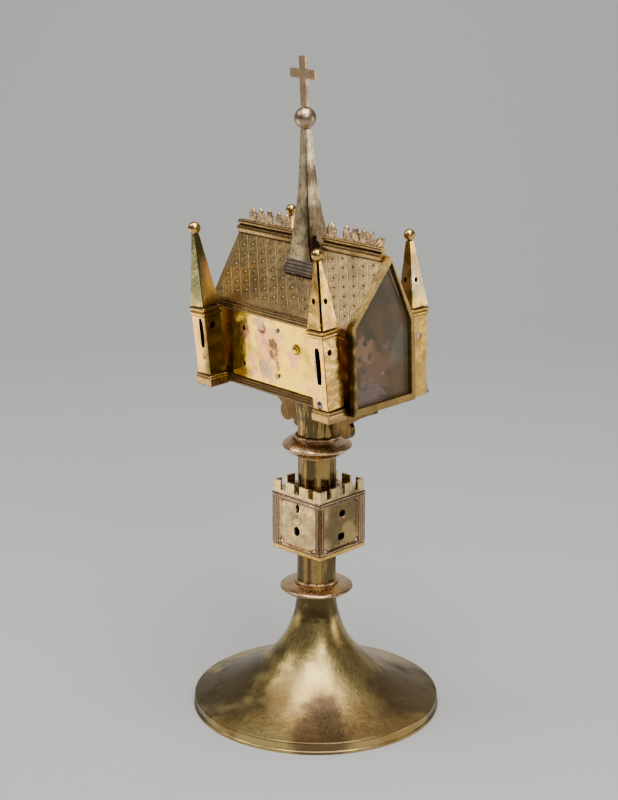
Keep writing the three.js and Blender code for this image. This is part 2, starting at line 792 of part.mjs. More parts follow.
// The spire straddles the ridge: its foot is cut to the two slopes, and it is open below.
function spire() {
  const outer = solid(lofted(spireSections(0)));
  const inner = spireSections(SPIRE.sheet);
  inner[0].forEach((p) => (p.z -= 1));
  inner[inner.length - 1].forEach((p) => (p.z -= 2));
  const turn = new THREE.Euler(deg(SPIRE.leanX), deg(SPIRE.leanY), 0);
  const matrix = new THREE.Matrix4().makeRotationFromEuler(turn).setPosition(SPIRE.x, SPIRE.y, 0);
  const inverse = matrix.clone().invert();
  const roofSpace = geometryOf(underRoof()).applyMatrix4(inverse);
  const flangeSpace = [-1, 1].map((side) => {
    const room = geometryOf(flangeStrip(side, 2 * GAP)).applyMatrix4(inverse);
    return solid(room);
  });
  const hollow = outer.subtract(solid(lofted(inner))).subtract(solid(roofSpace));
  return geometryOf(hollow.subtract(flangeSpace[0]).subtract(flangeSpace[1]));
}

// The strip that runs across one slope over the spire's foot, grown on all sides by margin.
function flangeStrip(side, margin) {
  const y = ridgeY(0);
  const eave = side < 0 ? ROOF.eaveFront : ROOF.eaveBack;
  const run = ROOF.eaveY + side * -y;
  const drop = ROOF.ridge - eave;
  const length = Math.hypot(run, drop);
  const along = new THREE.Vector3(0, (side * run) / length, -drop / length);
  const out = new THREE.Vector3(0, (side * drop) / length, run / length);
  const start = (side < 0 ? FLANGE.topFront : FLANGE.topBack) - margin;
  const end = start + FLANGE.length + 3 * margin;
  const height = GAP * 2 + FLANGE.thick + margin;
  const section = [
    [start, -1],
    [end, -1],
    [end, height],
    [start, height],
  ];
  const ring = section.map(([a, b]) => {
    const p = along.clone().multiplyScalar(a).addScaledVector(out, b);
    return [p.y + y, p.z + ROOF.ridge];
  });
  const placed = side < 0 ? ring.reverse() : ring;
  return solid(strip(FLANGE.west - 3 * margin, FLANGE.east + margin, placed));
}

function flange(side) {
  return geometryOf(flangeStrip(side, 0).subtract(underRoof()));
}

function cross() {
  const { ball: centre, ballRadius, crossTop, crossSpan, crossBar, crossThick, crossArm } = SPIRE;
  const half = crossThick / 2;
  const foot = centre + ballRadius + 0.1;
  const upright = box(-crossBar / 2, crossBar / 2, -half, half, foot, crossTop);
  const arms = box(-crossSpan / 2, crossSpan / 2, -half, half, crossArm - crossBar / 2, crossArm + crossBar / 2);
  return geometryOf(solid(upright).add(solid(arms)));
}

// ---------------------------------------------------------------- turrets

function turretBase() {
  const { baseHalf, baseTop, ledge, bodyHalf } = TURRET;
  const sections = [
    rectangle(baseHalf - 0.25, baseHalf - 0.25, 0),
    rectangle(baseHalf, baseHalf, 0.5),
    rectangle(baseHalf, baseHalf, baseTop),
    rectangle(baseHalf - 0.35, baseHalf - 0.35, baseTop + 0.15),
    rectangle(baseHalf - 0.25, baseHalf - 0.25, baseTop + 0.6),
    rectangle(bodyHalf + 0.2, bodyHalf + 0.2, baseTop + ledge),
  ];
  const inner = bodyHalf - TURRET.sheet;
  const bore = lofted([rectangle(inner, inner, -1), rectangle(inner, inner, baseTop + ledge + 1)]);
  return geometryOf(solid(lofted(sections)).subtract(solid(bore)));
}

// The body is a square sheet tube with a slit in the face away from the casket's long wall and a
// round hole in the face to the east. Heights are measured from the pivot on its base.
function turretBody(height, name) {
  const { slit, hole } = OPENINGS[name] ?? OPENINGS.plain;
  const half = TURRET.bodyHalf;
  const [width, tall, below, aside] = slit;
  const top = height - below;
  const [y0, y1] = name.endsWith("front") ? [-half - 2, 0] : [0, half + 2];
  const cut = box(aside - width / 2, aside + width / 2, y0, y1, top - tall, top);
  const [radius, drop, shift] = hole;
  const bar = piercer(shift, height - drop, radius, radius, 10, 0, -half - 2, 0);
  const body = squareTube(half, half - TURRET.sheet, 0, height);
  return geometryOf(body.subtract(solid(cut)).subtract(solid(bar.rotateZ(Math.PI / 2))));
}

function turretMoulding(height) {
  const half = TURRET.mouldingHalf;
  const steps = [
    [half - 0.45, 0],
    [half - 0.05, 0.12],
    [half - 0.05, 0.4],
    [half - 0.45, 0.5],
    [half - 0.1, 0.6],
    [half + 0.15, 0.8],
    [half - 0.3, 1],
  ];
  const sections = steps.map(([h, share]) => rectangle(h, h, share * height));
  const inner = TURRET.bodyHalf - TURRET.sheet;
  const bore = lofted([rectangle(inner, inner, -1), rectangle(inner, inner, height + 1)]);
  return geometryOf(solid(lofted(sections)).subtract(solid(bore)));
}

// The cap is a hollow square pyramid, open below, with a small hole in each face where pierced.
function turretCap(height, pierced) {
  const foot = TURRET.mouldingHalf - 0.35;
  const tip = TURRET.capTopHalf;
  const outer = lofted([rectangle(foot, foot, 0), rectangle(tip, tip, height)]);
  const sheet = TURRET.sheet;
  const inner = lofted([
    rectangle(foot - sheet, foot - sheet, -0.01),
    rectangle(tip * 0.4, tip * 0.4, height - 6),
  ]);
  let cap = solid(outer).subtract(solid(inner));
  for (const turn of pierced ? [0, 90] : []) {
    const bar = piercer(0, height * CAP_HOLE.share, CAP_HOLE.radius, CAP_HOLE.radius * 1.15, 8, 0, -foot, foot);
    cap = cap.subtract(solid(bar.rotateZ(deg(turn))));
  }
  return geometryOf(cap);
}

// A lump of silver solder left on the outer corner of the turret that has lost its base.
function solderRemnant() {
  const { x, y, bodyHalf } = TURRET;
  const face = y + bodyHalf + 0.55;
  const lower = new THREE.SphereGeometry(1, 12, 8).scale(3.6, 2.3, 1.9).translate(x + 1.4, face + 0.6, 1.2);
  const upper = new THREE.SphereGeometry(1, 12, 8).scale(2.6, 1.5, 1.7).translate(x + 1.8, face + 0.2, 4);
  const lump = solid(lower).add(solid(upper));
  return geometryOf(lump.subtract(solid(box(x - 9, x + 9, face - 9, face, -9, 20))));
}

function turret(casket, spec) {
  const { name, sx, sy, top, moulding, lean, cap, ball: radius, baseless } = spec;
  const pivot = baseless ? 0 : TURRET.baseTop + TURRET.ledge + GAP;
  const stand = leaning(casket, sx * TURRET.x, sy * TURRET.y, 0, 0, 0);
  if (!baseless) place(stand, "turret_base_" + name, turretBase(), GILT);
  const shaft = leaning(stand, 0, 0, pivot, LEAN_AXIS.x * lean, LEAN_AXIS.y * lean);
  const lift = 0.35;
  const bodyHeight = top - moulding - pivot - lift - GAP;
  const body = place(shaft, "turret_body_" + name, turretBody(bodyHeight, name), GILT);
  body.position.z = lift;
  const ring = place(shaft, "turret_moulding_" + name, turretMoulding(moulding - GAP), GILT);
  ring.position.z = top - moulding - pivot;
  const head = leaning(shaft, 0, 0, top - pivot, LEAN_AXIS.x * cap, LEAN_AXIS.y * cap);
  const pierced = name !== "west_front";
  const capGeometry = turretCap(TURRET.capTop - top - lift, pierced);
  const capMesh = place(head, "turret_cap_" + name, capGeometry, GILT);
  capMesh.position.z = lift;
  const crown = TURRET.ball - top;
  const seat = TURRET.capTop - top + GAP;
  place(head, "turret_ball_" + name, seatedBall(radius, crown, seat), PALE_GILT);
}

// A ball with a small flat below, where it sits on the tip of its cap.
function seatedBall(radius, centre, seat) {
  const sphere = solid(ball(radius, centre));
  return geometryOf(sphere.subtract(solid(box(-9, 9, -9, 9, seat - 9, seat))));
}

// ---------------------------------------------------------------- rivets

function rivet(radius, proud) {
  const profile = [
    [0, 0],
    [radius, 0],
    [radius * 0.86, proud * 0.55],
    [radius * 0.45, proud * 0.92],
    [0, proud],
  ];
  return turned(profile, 10).rotateX(Math.PI / 2);
}

// ---------------------------------------------------------------- assembly

const reliquary = new THREE.Group();

place(reliquary, "foot", foot(), BRONZE);
place(reliquary, "lower_ring", stemRing(LOWER_RING), WORN);
place(reliquary, "lower_stem", geometryOf(tube(LOWER_STEM.radius, LOWER_STEM.bottom, LOWER_STEM.top)), GILT);
place(reliquary, "upper_stem", upperStem(), BRONZE);
place(reliquary, "upper_ring", stemRing(UPPER_RING), BRONZE);
place(reliquary, "top_stem", topStem(), BRONZE);
place(reliquary, "bracket_east", bracket(1), WORN);
place(reliquary, "bracket_west", bracket(-1), WORN);

const knop = leaning(reliquary, KNOP.x, KNOP.y, 0, 0, 0);
knop.rotation.z = deg(KNOP.turn);
place(knop, "knop_slab", knopSlab(), GILT);
place(knop, "knop_body", knopBody(), WORN);
place(knop, "knop_battlement", knopBattlement(), WORN);

const casket = leaning(reliquary, CASKET.x, CASKET.y, CASKET.z, CASKET.leanX, CASKET.leanY);
place(casket, "casket_floor", floorPlate(), WORN);
place(casket, "casket_roof", roof(), GILT);
place(casket, "west_gable", westGable(), GILT);
place(casket, "gable_frame", gableFrame(), GILT);
place(casket, "gable_pane", gablePane(), GLASS);
for (const [name, side] of [["front", -1], ["back", 1]]) {
  place(casket, "wall_" + name, longWall(side), PALE_GILT);
  place(casket, "plinth_" + name, plinth(side), WORN);
  place(casket, "cornice_" + name, cornice(side), WORN);
  place(casket, "spire_flange_" + name, flange(side), GREY);
}

place(casket, "ridge_bar_west", ridgeBar(RIDGE_BAR.west), WORN);
place(casket, "ridge_bar_east", ridgeBar(RIDGE_BAR.east), WORN);
place(casket, "cresting_west", cresting([-40.5, -13.6], WEST_LEAVES), WORN);
place(casket, "cresting_east", cresting([11, 45], EAST_LEAVES, BENT_LEAF), WORN);

const steeple = leaning(casket, SPIRE.x, SPIRE.y, 0, SPIRE.leanX, SPIRE.leanY);
place(steeple, "spire", spire(), WORN);
place(steeple, "spire_ball", seatedBall(SPIRE.ballRadius, SPIRE.ball, SPIRE.heights[10] + GAP), WORN);
place(steeple, "cross", cross(), WORN);

TURRETS.forEach((spec) => turret(casket, spec));

for (const [name, x, z] of [["upper", -0.7, 31.9], ["lower", -1.3, 10]]) {
  const pin = place(casket, "wall_rivet_" + name, rivet(1.1, 0.9), SILVER);
  pin.position.set(x, -CASKET.wallY - 0.1, z);
}
const boss = place(casket, "wall_boss", rivet(2, 1), GILT);
boss.position.set(12.5, -CASKET.wallY - 0.1, 25);
place(casket, "solder_remnant", solderRemnant(), SILVER);

export default reliquary;
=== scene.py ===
import math
from types import SimpleNamespace as Sizes

import bmesh
import bpy
from mathutils import Matrix, Vector, noise


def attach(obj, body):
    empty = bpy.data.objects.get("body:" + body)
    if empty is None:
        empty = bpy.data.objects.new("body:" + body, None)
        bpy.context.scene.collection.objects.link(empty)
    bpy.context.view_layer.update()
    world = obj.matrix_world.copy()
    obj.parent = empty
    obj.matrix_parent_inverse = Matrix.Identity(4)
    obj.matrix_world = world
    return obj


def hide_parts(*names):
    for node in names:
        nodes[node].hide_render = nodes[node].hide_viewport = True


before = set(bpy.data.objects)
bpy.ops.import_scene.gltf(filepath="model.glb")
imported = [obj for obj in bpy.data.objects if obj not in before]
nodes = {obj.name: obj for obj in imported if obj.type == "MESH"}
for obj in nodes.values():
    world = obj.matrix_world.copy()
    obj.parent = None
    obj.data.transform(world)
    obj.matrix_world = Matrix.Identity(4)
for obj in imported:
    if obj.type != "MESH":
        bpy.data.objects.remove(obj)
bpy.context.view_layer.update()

MM = 0.001
deg = math.radians

# ---- sizes, in millimetres

FOOT = Sizes(radius=60, rim=5.75, lip=1.2, top=57, sheet=1.3, neck=9.4)
FLARE = Sizes(top=63.3, power=2.54, skirt=0.24)
STEM_BORE = 7.4
LOWER_RING = Sizes(bottom=57, edge=61.1, top=65.2, radius=17.7, collar=9.7, crest=10.1)
UPPER_RING = Sizes(bottom=127.4, edge=132.8, top=138.2, radius=16.8, collar=9.8, crest=10.3)
KNOP = Sizes(at=(0.65, 0.72, 0), turn=4.45, half=15.1, slab=83.1, body=107, course=109.6)
CASKET = Sizes(wall=19.1, west=-47.4, east=46.9, sill=2.6)
ROOF = Sizes(west_y=1, east_y=4, ridge=70.2, eave_y=17.8, west=-48.3)
# By side of the casket: -1 is the front long side and 1 the back one.
WALL_TOP = {-1: 38.6, 1: 37.2}
EAVE = {-1: 40.9, 1: 39.5}
SPIRE = Sizes(x=0.62, y=2.5, sheet=0.8, flare=3.4, ball=127.6, ball_radius=5.1)
# The spire's half width at each height.
SPIRE_HEIGHTS = [56, 63, 70, 74, 78.5, 83, 88, 93, 102.5, 112, 122.6]
SPIRE_HALVES = [6.7, 6.5, 6.1, 5.7, 5.15, 4.5, 3.95, 3.4, 2.75, 2.2, 1.7]
TURRET = Sizes(x=41.24, y=25.74, base=4.4, ledge=1.1, half=4.75, moulding=5.2, sheet=0.9)
TURRET_TOP = Sizes(cap=73, tip=1.25, ball=75.8)
# Heights are in the turret's own frame, and lean and cap are angles across the view.
TURRETS = {
    "west_front": Sizes(sx=-1, sy=-1, top=38.8, moulding=4.6, lean=3.6, cap=1.6, ball=3.05),
    "east_front": Sizes(sx=1, sy=-1, top=42.7, moulding=3.4, lean=3.0, cap=-0.5, ball=2.7),
    "east_back": Sizes(sx=1, sy=1, top=42.7, moulding=3.6, lean=-1.5, cap=3.3, ball=2.65),
    "west_back": Sizes(sx=-1, sy=1, top=42.7, moulding=3.6, lean=-0.9, cap=0, ball=2.65),
}
GAP = 0.3
LEAN_AXIS = (0.746, -0.667)  # level, towards the camera


def lean(x, y):
    return Matrix.Rotation(deg(x), 4, "X") @ Matrix.Rotation(deg(y), 4, "Y")


WORLD = Matrix.Identity(4)
CASKET_AT = Matrix.Translation((-0.55, -3.7, 160.77)) @ lean(2.21, -0.3)
KNOP_AT = Matrix.Translation(KNOP.at) @ Matrix.Rotation(deg(KNOP.turn), 4, "Z")
SPIRE_AT = CASKET_AT @ Matrix.Translation((SPIRE.x, SPIRE.y, 0)) @ lean(0.37, -0.34)


def tipped(angle):
    """A lean across the view: a positive one goes to the left of the photograph."""
    return lean(LEAN_AXIS[0] * angle, LEAN_AXIS[1] * angle)


def turret_places(spec, baseless):
    """The frames of a turret's base, body and cap, and the height where its body starts."""
    pivot = 0 if baseless else TURRET.base + TURRET.ledge + GAP
    base = CASKET_AT @ Matrix.Translation((spec.sx * TURRET.x, spec.sy * TURRET.y, 0))
    body = base @ Matrix.Translation((0, 0, pivot)) @ tipped(spec.lean)
    cap = body @ Matrix.Translation((0, 0, spec.top - pivot)) @ tipped(spec.cap)
    return base, body, cap, pivot


# ---- noise and meshes


def rough(x, y, z, scale, seed=0):
    """Smooth noise in -1..1 with features of about scale millimetres."""
    return noise.noise(Vector((x / scale + seed * 7.3, y / scale - seed * 3.1, z / scale + seed)))


def smooth(edge0, edge1, value):
    """0 before edge0, 1 after edge1 and an even slope between them."""
    t = min(max((value - edge0) / (edge1 - edge0), 0), 1)
    return t * t * (3 - 2 * t)


def bump_at(distance, radius):
    """A round bump: 1 in the middle, 0 at radius."""
    return 0 if distance >= radius else (1 - (distance / radius) ** 2) ** 2


def mesh_object(name, points, faces, matrix, material, angle=35, inside=()):
    """An object from points in millimetres. Edges sharper than angle stay sharp, and the faces
    numbered in inside get painted shade."""
    data = bpy.data.meshes.new(name)
    data.from_pydata([(matrix @ Vector(p)) * MM for p in points], [], faces)
    for index in inside:
        data.polygons[index].material_index = 1
    made = bmesh.new()
    made.from_mesh(data)
    bmesh.ops.remove_doubles(made, verts=made.verts, dist=1e-7)
    bmesh.ops.recalc_face_normals(made, faces=made.faces)
    limit = deg(angle)
    for edge in made.edges:
        edge.smooth = len(edge.link_faces) == 2 and edge.calc_face_angle(0) < limit
    for face in made.faces:
        face.smooth = True
    made.to_mesh(data)
    made.free()
    data.materials.append(material)
    if inside:
        data.materials.append(inner_shade)
    thing = bpy.data.objects.new(name, data)
    bpy.context.scene.collection.objects.link(thing)
    return thing


def piece(thing, slot, *replaced):
    """Fixes a mesh to the part's one body, in place of the CAD nodes named."""
    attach(thing, "root")
    if replaced:
        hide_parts(*replaced)
    return thing


def rounded(profile, radius, steps=3):
    """The closed profile with each corner rounded by up to radius."""
    made = []
    count = len(profile)
    for i in range(count):
        before, here, after = (Vector(profile[(i + k) % count]) for k in (-1, 0, 1))
        back, ahead = before - here, after - here
        r = min(radius, back.length * 0.45, ahead.length * 0.45)
        start, end = here + back.normalized() * r, here + ahead.normalized() * r
        for s in range(steps + 1):
            t = s / steps
            made.append(tuple(start.lerp(here, t).lerp(here.lerp(end, t), t)))
    return made


def loft_faces(rings, closed=False):
    """Faces between rings of points, with a cap at both ends unless closed on itself."""
    total, count = len(rings), len(rings[0])
    faces = []
    for s in range(total if closed else total - 1):
        for i in range(count):
            here, ahead = s * count, (s + 1) % total * count
            after = (i + 1) % count
            faces.append((here + i, here + after, ahead + after, ahead + i))
    if not closed:
        faces.append(tuple(range(count))[::-1])
        faces.append(tuple(range((total - 1) * count, total * count)))
    return faces


def lofted(name, rings, matrix, material, angle=30, closed=False):
    points = [p for ring in rings for p in ring]
    return mesh_object(name, points, loft_faces(rings, closed), matrix, material, angle)


def turned(name, profile, matrix, material, segments=128, wobble=None, angle=35):
    """A closed body of revolution. wobble(a, r, z) moves each point outwards."""
    rings = []
    for i in range(segments):
        a = 2 * math.pi * i / segments
        grown = [(r + (wobble(a, r, z) if wobble else 0), z) for r, z in profile]
        rings.append([(r * math.cos(a), r * math.sin(a), z) for r, z in grown])
    return lofted(name, rings, matrix, material, angle, True)


def snapped(u, v, holes, step):
    """The grid point, moved onto the rim of a hole that passes close by, or None inside a hole."""
    for hu, hv, ru, rv, power in holes:
        a, b = abs(u - hu) / ru, abs(v - hv) / rv
        d = (a ** power + b ** power) ** (1 / power)
        if d < 1 - 0.5 * step / min(ru, rv):
            return None
        if d < 1 + 0.6 * step / min(ru, rv) and power == 2:
            u, v = hu + (u - hu) / d, hv + (v - hv) / d
        elif a < 1 + 0.6 * step / ru and a >= b and b < 1:
            u = hu + math.copysign(ru * (1 - b ** power) ** (1 / power), u - hu)
        elif b < 1 + 0.6 * step / rv and b > a and a < 1:
            v = hv + math.copysign(rv * (1 - a ** power) ** (1 / power), v - hv)
    return u, v


def sheet(name, place, size, step, thick, relief, matrix, material, holes=(), dark=False):
    """A closed sheet on a u, v grid: place(u, v, out) gives the point, relief(u, v) the height of
    the outer face, and holes are (u, v, half width, half height, power) that go right through:
    power 2 is an ellipse and a high power nearly a rectangle. A dark sheet gets painted shade inside."""
    (u0, u1), (v0, v1) = size
    nu = max(2, round((u1 - u0) / step))
    nv = max(2, round((v1 - v0) / step))
    grid = {}
    for i in range(nu + 1):
        for j in range(nv + 1):
            grid[i, j] = snapped(u0 + (u1 - u0) * i / nu, v0 + (v1 - v0) * j / nv, holes, step)
    points = []
    outer = {}
    inner = {}
    for key, uv in grid.items():
        if uv is None:
            continue
        outer[key] = len(points)
        points.append(place(uv[0], uv[1], relief(*uv)))
        inner[key] = len(points)
        points.append(place(uv[0], uv[1], -thick))
    faces = []
    rim = {}
    inside = []
    for i in range(nu):
        for j in range(nv):
            keys = [(i, j), (i + 1, j), (i + 1, j + 1), (i, j + 1)]
            kept = [k for k in keys if grid[k] is not None]
            if len(kept) < 3:
                continue
            faces.append([outer[k] for k in kept])
            if dark:
                inside.append(len(faces))
            faces.append([inner[k] for k in kept][::-1])
            for a, b in zip(kept, kept[1:] + kept[:1]):
                if (b, a) in rim:
                    del rim[b, a]
                else:
                    rim[a, b] = True
    for a, b in rim:
        faces.append([outer[b], outer[a], inner[a], inner[b]])
    return mesh_object(name, points, faces, matrix, material, 40, inside)


CORNERS = [(1, -1), (-1, -1), (-1, 1), (1, 1)]


def wrapped(half_at, seam):
    """Places a sheet that is folded round a square: u goes 0..4 round the faces -Y, -X, +Y, +X
    from the near corner, where its two edges leave an open seam of seam millimetres each."""

    def place(u, v, out):
        half = half_at(v)
        if u < 1:
            u = seam / (2 * half) + (1 - seam / (2 * half)) * u
        elif u > 3:
            u = 3 + (u - 3) * (1 - seam / (2 * half))
        k = min(int(u + 1e-9), 3)
        t = u - k
        (ax, ay), (bx, by) = CORNERS[k], CORNERS[(k + 1) % 4]
        x, y = ax + (bx - ax) * t, ay + (by - ay) * t
        nx = x if abs(abs(x) - 1) < 1e-6 else 0
        ny = y if abs(abs(y) - 1) < 1e-6 else 0
        return Vector((x * half + nx * out, y * half + ny * out, v))

    return place


def folded(name, half_at, seam, heights, step, thick, relief, matrix, material, holes=()):
    """A folded sheet. relief and holes take u as a face number plus -1..1 across that face."""
    unit = 2 * half_at(heights[0])
    place = wrapped(half_at, seam)
    scaled = [((k + 0.5 + c / 2) * unit, v, ru, rv, power) for k, c, v, ru, rv, power in holes]
    per_face = max(4, round(unit / step))

    def spread(u, v, out):
        return place(u / unit, v, out)

    def height(u, v):
        w = u / unit
        k = min(int(w), 3)
        return relief(k, (w - k - 0.5) * 2, v)

    size = ((0, 4 * unit), heights)
    return sheet(name, spread, size, unit / per_face, thick, height, matrix, material, scaled, True)


# ---- materials


class Shader:
    """A small builder for node materials."""

    def __init__(self, name):
        self.material = bpy.data.materials.new(name)
        self.material.use_nodes = True
        self.tree = self.material.node_tree
        self.bsdf = self.tree.nodes["Principled BSDF"]
        self.where = self.add("ShaderNodeTexCoord").outputs["Object"]

    def add(self, kind, **values):
        """A new node. Keys with a capital are its sockets and the others its settings."""
        node = self.tree.nodes.new(kind)
        for key, value in values.items():
            if key.islower():
                setattr(node, key, value)
            else:
                self.fill(node, **{key: value})
        return node

    def fill(self, node, **values):
        """Feeds a node's sockets. An underline in a key stands for a space."""
        for key, value in values.items():
            self.feed(node.inputs[key.replace("_", " ")], value)

    def join(self, source, target):
        self.tree.links.new(source, target)

    def feed(self, socket, value):
        if isinstance(value, bpy.types.NodeSocket):
            self.join(value, socket)
        elif value is not None:
            socket.default_value = value

    def mapped(self, scale, location=(0, 0, 0), turn=0, kind="POINT"):
        return self.add("ShaderNodeMapping", vector_type=kind, Vector=self.where, Location=location,
                        Rotation=(0, 0, turn), Scale=scale).outputs[0]

    def math(self, kind, *values):
        node = self.add("ShaderNodeMath", operation=kind)
        for socket, value in zip(node.inputs, values):
            self.feed(socket, value)
        return node.outputs[0]

    def times(self, a, b):
        return self.math("MULTIPLY", a, b)

    def plus(self, a, b):
        return self.math("ADD", a, b)

    def minus(self, a, b):
        return self.math("SUBTRACT", a, b)

    def rest(self, value):
        """What is left of 1."""
        return self.minus(1.0, value)

    def axes(self, place=None):
        return self.add("ShaderNodeSeparateXYZ", Vector=place or self.where).outputs

    def noise(self, size, detail=3.0, rough=0.55, stretch=(1, 1, 1), offset=0.0):
        """Noise with features of about size millimetres, 0..1."""
        place = self.mapped([1 / (size * MM * s) for s in stretch], (offset, offset * 1.7, -offset))
        return self.add("ShaderNodeTexNoise", Vector=place, Scale=1, Detail=detail,
                        Roughness=rough).outputs[0]

    def spots(self, size):
        """Distance to scattered points, 0 at each, in units of size millimetres."""
        place = self.mapped([1 / (size * MM)] * 3)
        return self.add("ShaderNodeTexVoronoi", Vector=place, Scale=1).outputs["Distance"]

    def ramp(self, value, low, high, shape="SMOOTHSTEP"):
        """0 at low and 1 at high."""
        return self.add("ShaderNodeMapRange", interpolation_type=shape, Value=value, From_Min=low,
                        From_Max=high).outputs["Result"]

    def mix(self, share, a, b):
        node = self.add("ShaderNodeMix", data_type="RGBA")
        self.feed(node.inputs[0], share)
        for socket, value in ((node.inputs[6], a), (node.inputs[7], b)):
            if isinstance(value, tuple):
                value = (*value, 1)
            self.feed(socket, value)
        return node.outputs[2]

    def blend(self, share, a, b):
        node = self.add("ShaderNodeMix", data_type="FLOAT")
        self.feed(node.inputs[0], share)
        self.feed(node.inputs[2], a)
        self.feed(node.inputs[3], b)
        return node.outputs[0]

    def near(self, centre, radius, fringe=0.5):
        """1 within radius millimetres of a point in the part's frame, 0 beyond the fringe."""
        offset = self.add("ShaderNodeVectorMath", operation="DISTANCE")
        self.join(self.where, offset.inputs[0])
        offset.inputs[1].default_value = [c * MM for c in centre]
        ragged = self.ramp(self.noise(radius * 0.5, 3, 0.55), 0.25, 0.75, "LINEAR")
        radius *= MM
        reach = self.math("MULTIPLY_ADD", ragged, radius * fringe * 2, radius * (1 - fringe))
        share = self.math("DIVIDE", offset.outputs["Value"], reach)
        return self.rest(self.ramp(share, 0.7, 1.2))

    def crevices(self, distance):
        """1 where other surfaces crowd in within distance millimetres."""
        node = self.add("ShaderNodeAmbientOcclusion", samples=6, Distance=distance * MM)
        return self.rest(node.outputs["AO"])

    def bump(self, height, depth, under=None):
        return self.add("ShaderNodeBump", Strength=1.0, Distance=depth * MM, Height=height,
                        Normal=under).outputs["Normal"]


def aged_metal(name, bright, worn, dark, *, wear=(0.45, 0.65), roughness=(0.24, 0.42), grime=0.75,
               dents=0.5, patch=9.0, patches=(), speckle=0.35, pits=0.03, soil=0.35, detail=None):
    """Gilded copper: bright gilding, worn through in patches, with dark tarnish in the hollows.
    patches are (centre, radius, tint, share) with the width of the ragged edge as an optional
    fifth; some are stains and some are painted shade or painted reflections. detail(shader, colour)
    gives the tooled colour and the tooling's height."""
    s = Shader(name)
    coat = s.ramp(s.noise(patch, 5, 0.62), *wear)
    colour = s.mix(coat, bright, worn)
    mottle = s.noise(1.6, 4, 0.7, offset=3.0)
    colour = s.mix(s.times(s.ramp(mottle, 0.45, 0.75), speckle), colour, dark)
    for centre, radius, tint, share, *fringe in patches:
        reach = s.near(centre, radius, *fringe)
        colour = s.mix(s.times(reach, share), colour, tint)
    tooled = None
    if detail:
        colour, tooled = detail(s, colour)
    hollow = s.ramp(s.crevices(2.2), 0.18, 0.75)
    stain = s.ramp(s.noise(22, 4, 0.6, offset=9.0), 0.52, 0.74)
    dirt = s.math("MAXIMUM", s.times(hollow, grime), s.times(stain, soil))
    colour = s.mix(dirt, colour, tuple(c * 0.35 for c in dark))
    scuff = s.noise(0.9, 3, 0.6, stretch=(1, 1, 6), offset=1.0)
    shine = s.blend(s.ramp(scuff, 0.3, 0.7), *roughness)
    skin = s.bump(s.noise(7, 2, 0.5, offset=5.0), 0.5 * dents)
    skin = s.bump(s.noise(1.4, 3, 0.6, offset=2.0), 0.06, skin)
    if pits:
        skin = s.bump(s.ramp(s.spots(1.3), 0.0, 0.22), pits, skin)
    if tooled:
        skin = s.bump(tooled, 0.35, skin)
    s.fill(s.bsdf, Base_Color=colour, Metallic=1, Roughness=s.blend(dirt, shine, 0.62), Normal=skin)
    return s.material


def knop_frame(s, colour):
    """Darker, redder posts and borders round the knop's panels, with dark lines between the reeds."""
    own = s.mapped([MM] * 3, [c * MM for c in KNOP.at], deg(KNOP.turn), "TEXTURE")
    x, y, z = (s.math("ABSOLUTE", value) for value in s.axes(own))
    across = s.math("MINIMUM", x, y)
    post = s.ramp(across, 11.6, 12.0)
    above_course = s.ramp(z, 109.5, 109.9)
    course = s.minus(s.ramp(z, 105.6, 105.9), above_course)
    band = s.math("MAXIMUM", course, s.rest(s.ramp(z, 84.6, 84.9)))
    post = s.times(post, s.rest(above_course))
    border = s.math("MAXIMUM", post, band)
    colour = s.mix(s.times(border, 0.75), colour, (0.40, 0.25, 0.17))
    groove = s.math("PINGPONG", s.plus(across, -11.8), 0.62)
    groove = s.times(s.rest(s.ramp(groove, 0.05, 0.25)), post)
    colour = s.mix(s.times(groove, 0.6), colour, (0.05, 0.025, 0.015))
    return colour, s.times(groove, -1.0)


def streaks(s, colour):
    """Dark olive streaks that run up the stem."""
    share = s.ramp(s.noise(3.4, 3, 0.55, stretch=(1, 1, 14), offset=4.0), 0.44, 0.56)
    return s.mix(s.times(share, 0.85), colour, (0.09, 0.065, 0.03)), share


def ruled(s, colour):
    """Fine dark lines along the strip below the spire."""
    height = s.math("DIVIDE", s.axes()[2], MM)
    line = s.rest(s.ramp(s.math("PINGPONG", height, 0.7), 0.06, 0.3))
    return s.mix(s.times(line, 0.7), colour, (0.03, 0.022, 0.016)), line


# The tooling's columns and rows in millimetres, how far each slants, how steep the slope is and
# how far down it the part's origin would lie.
LATTICE = Sizes(column=6.6, row=4.92, slant=0.667, climb=0.243, steep=1.1851, origin=273.83, narrow=0.8)


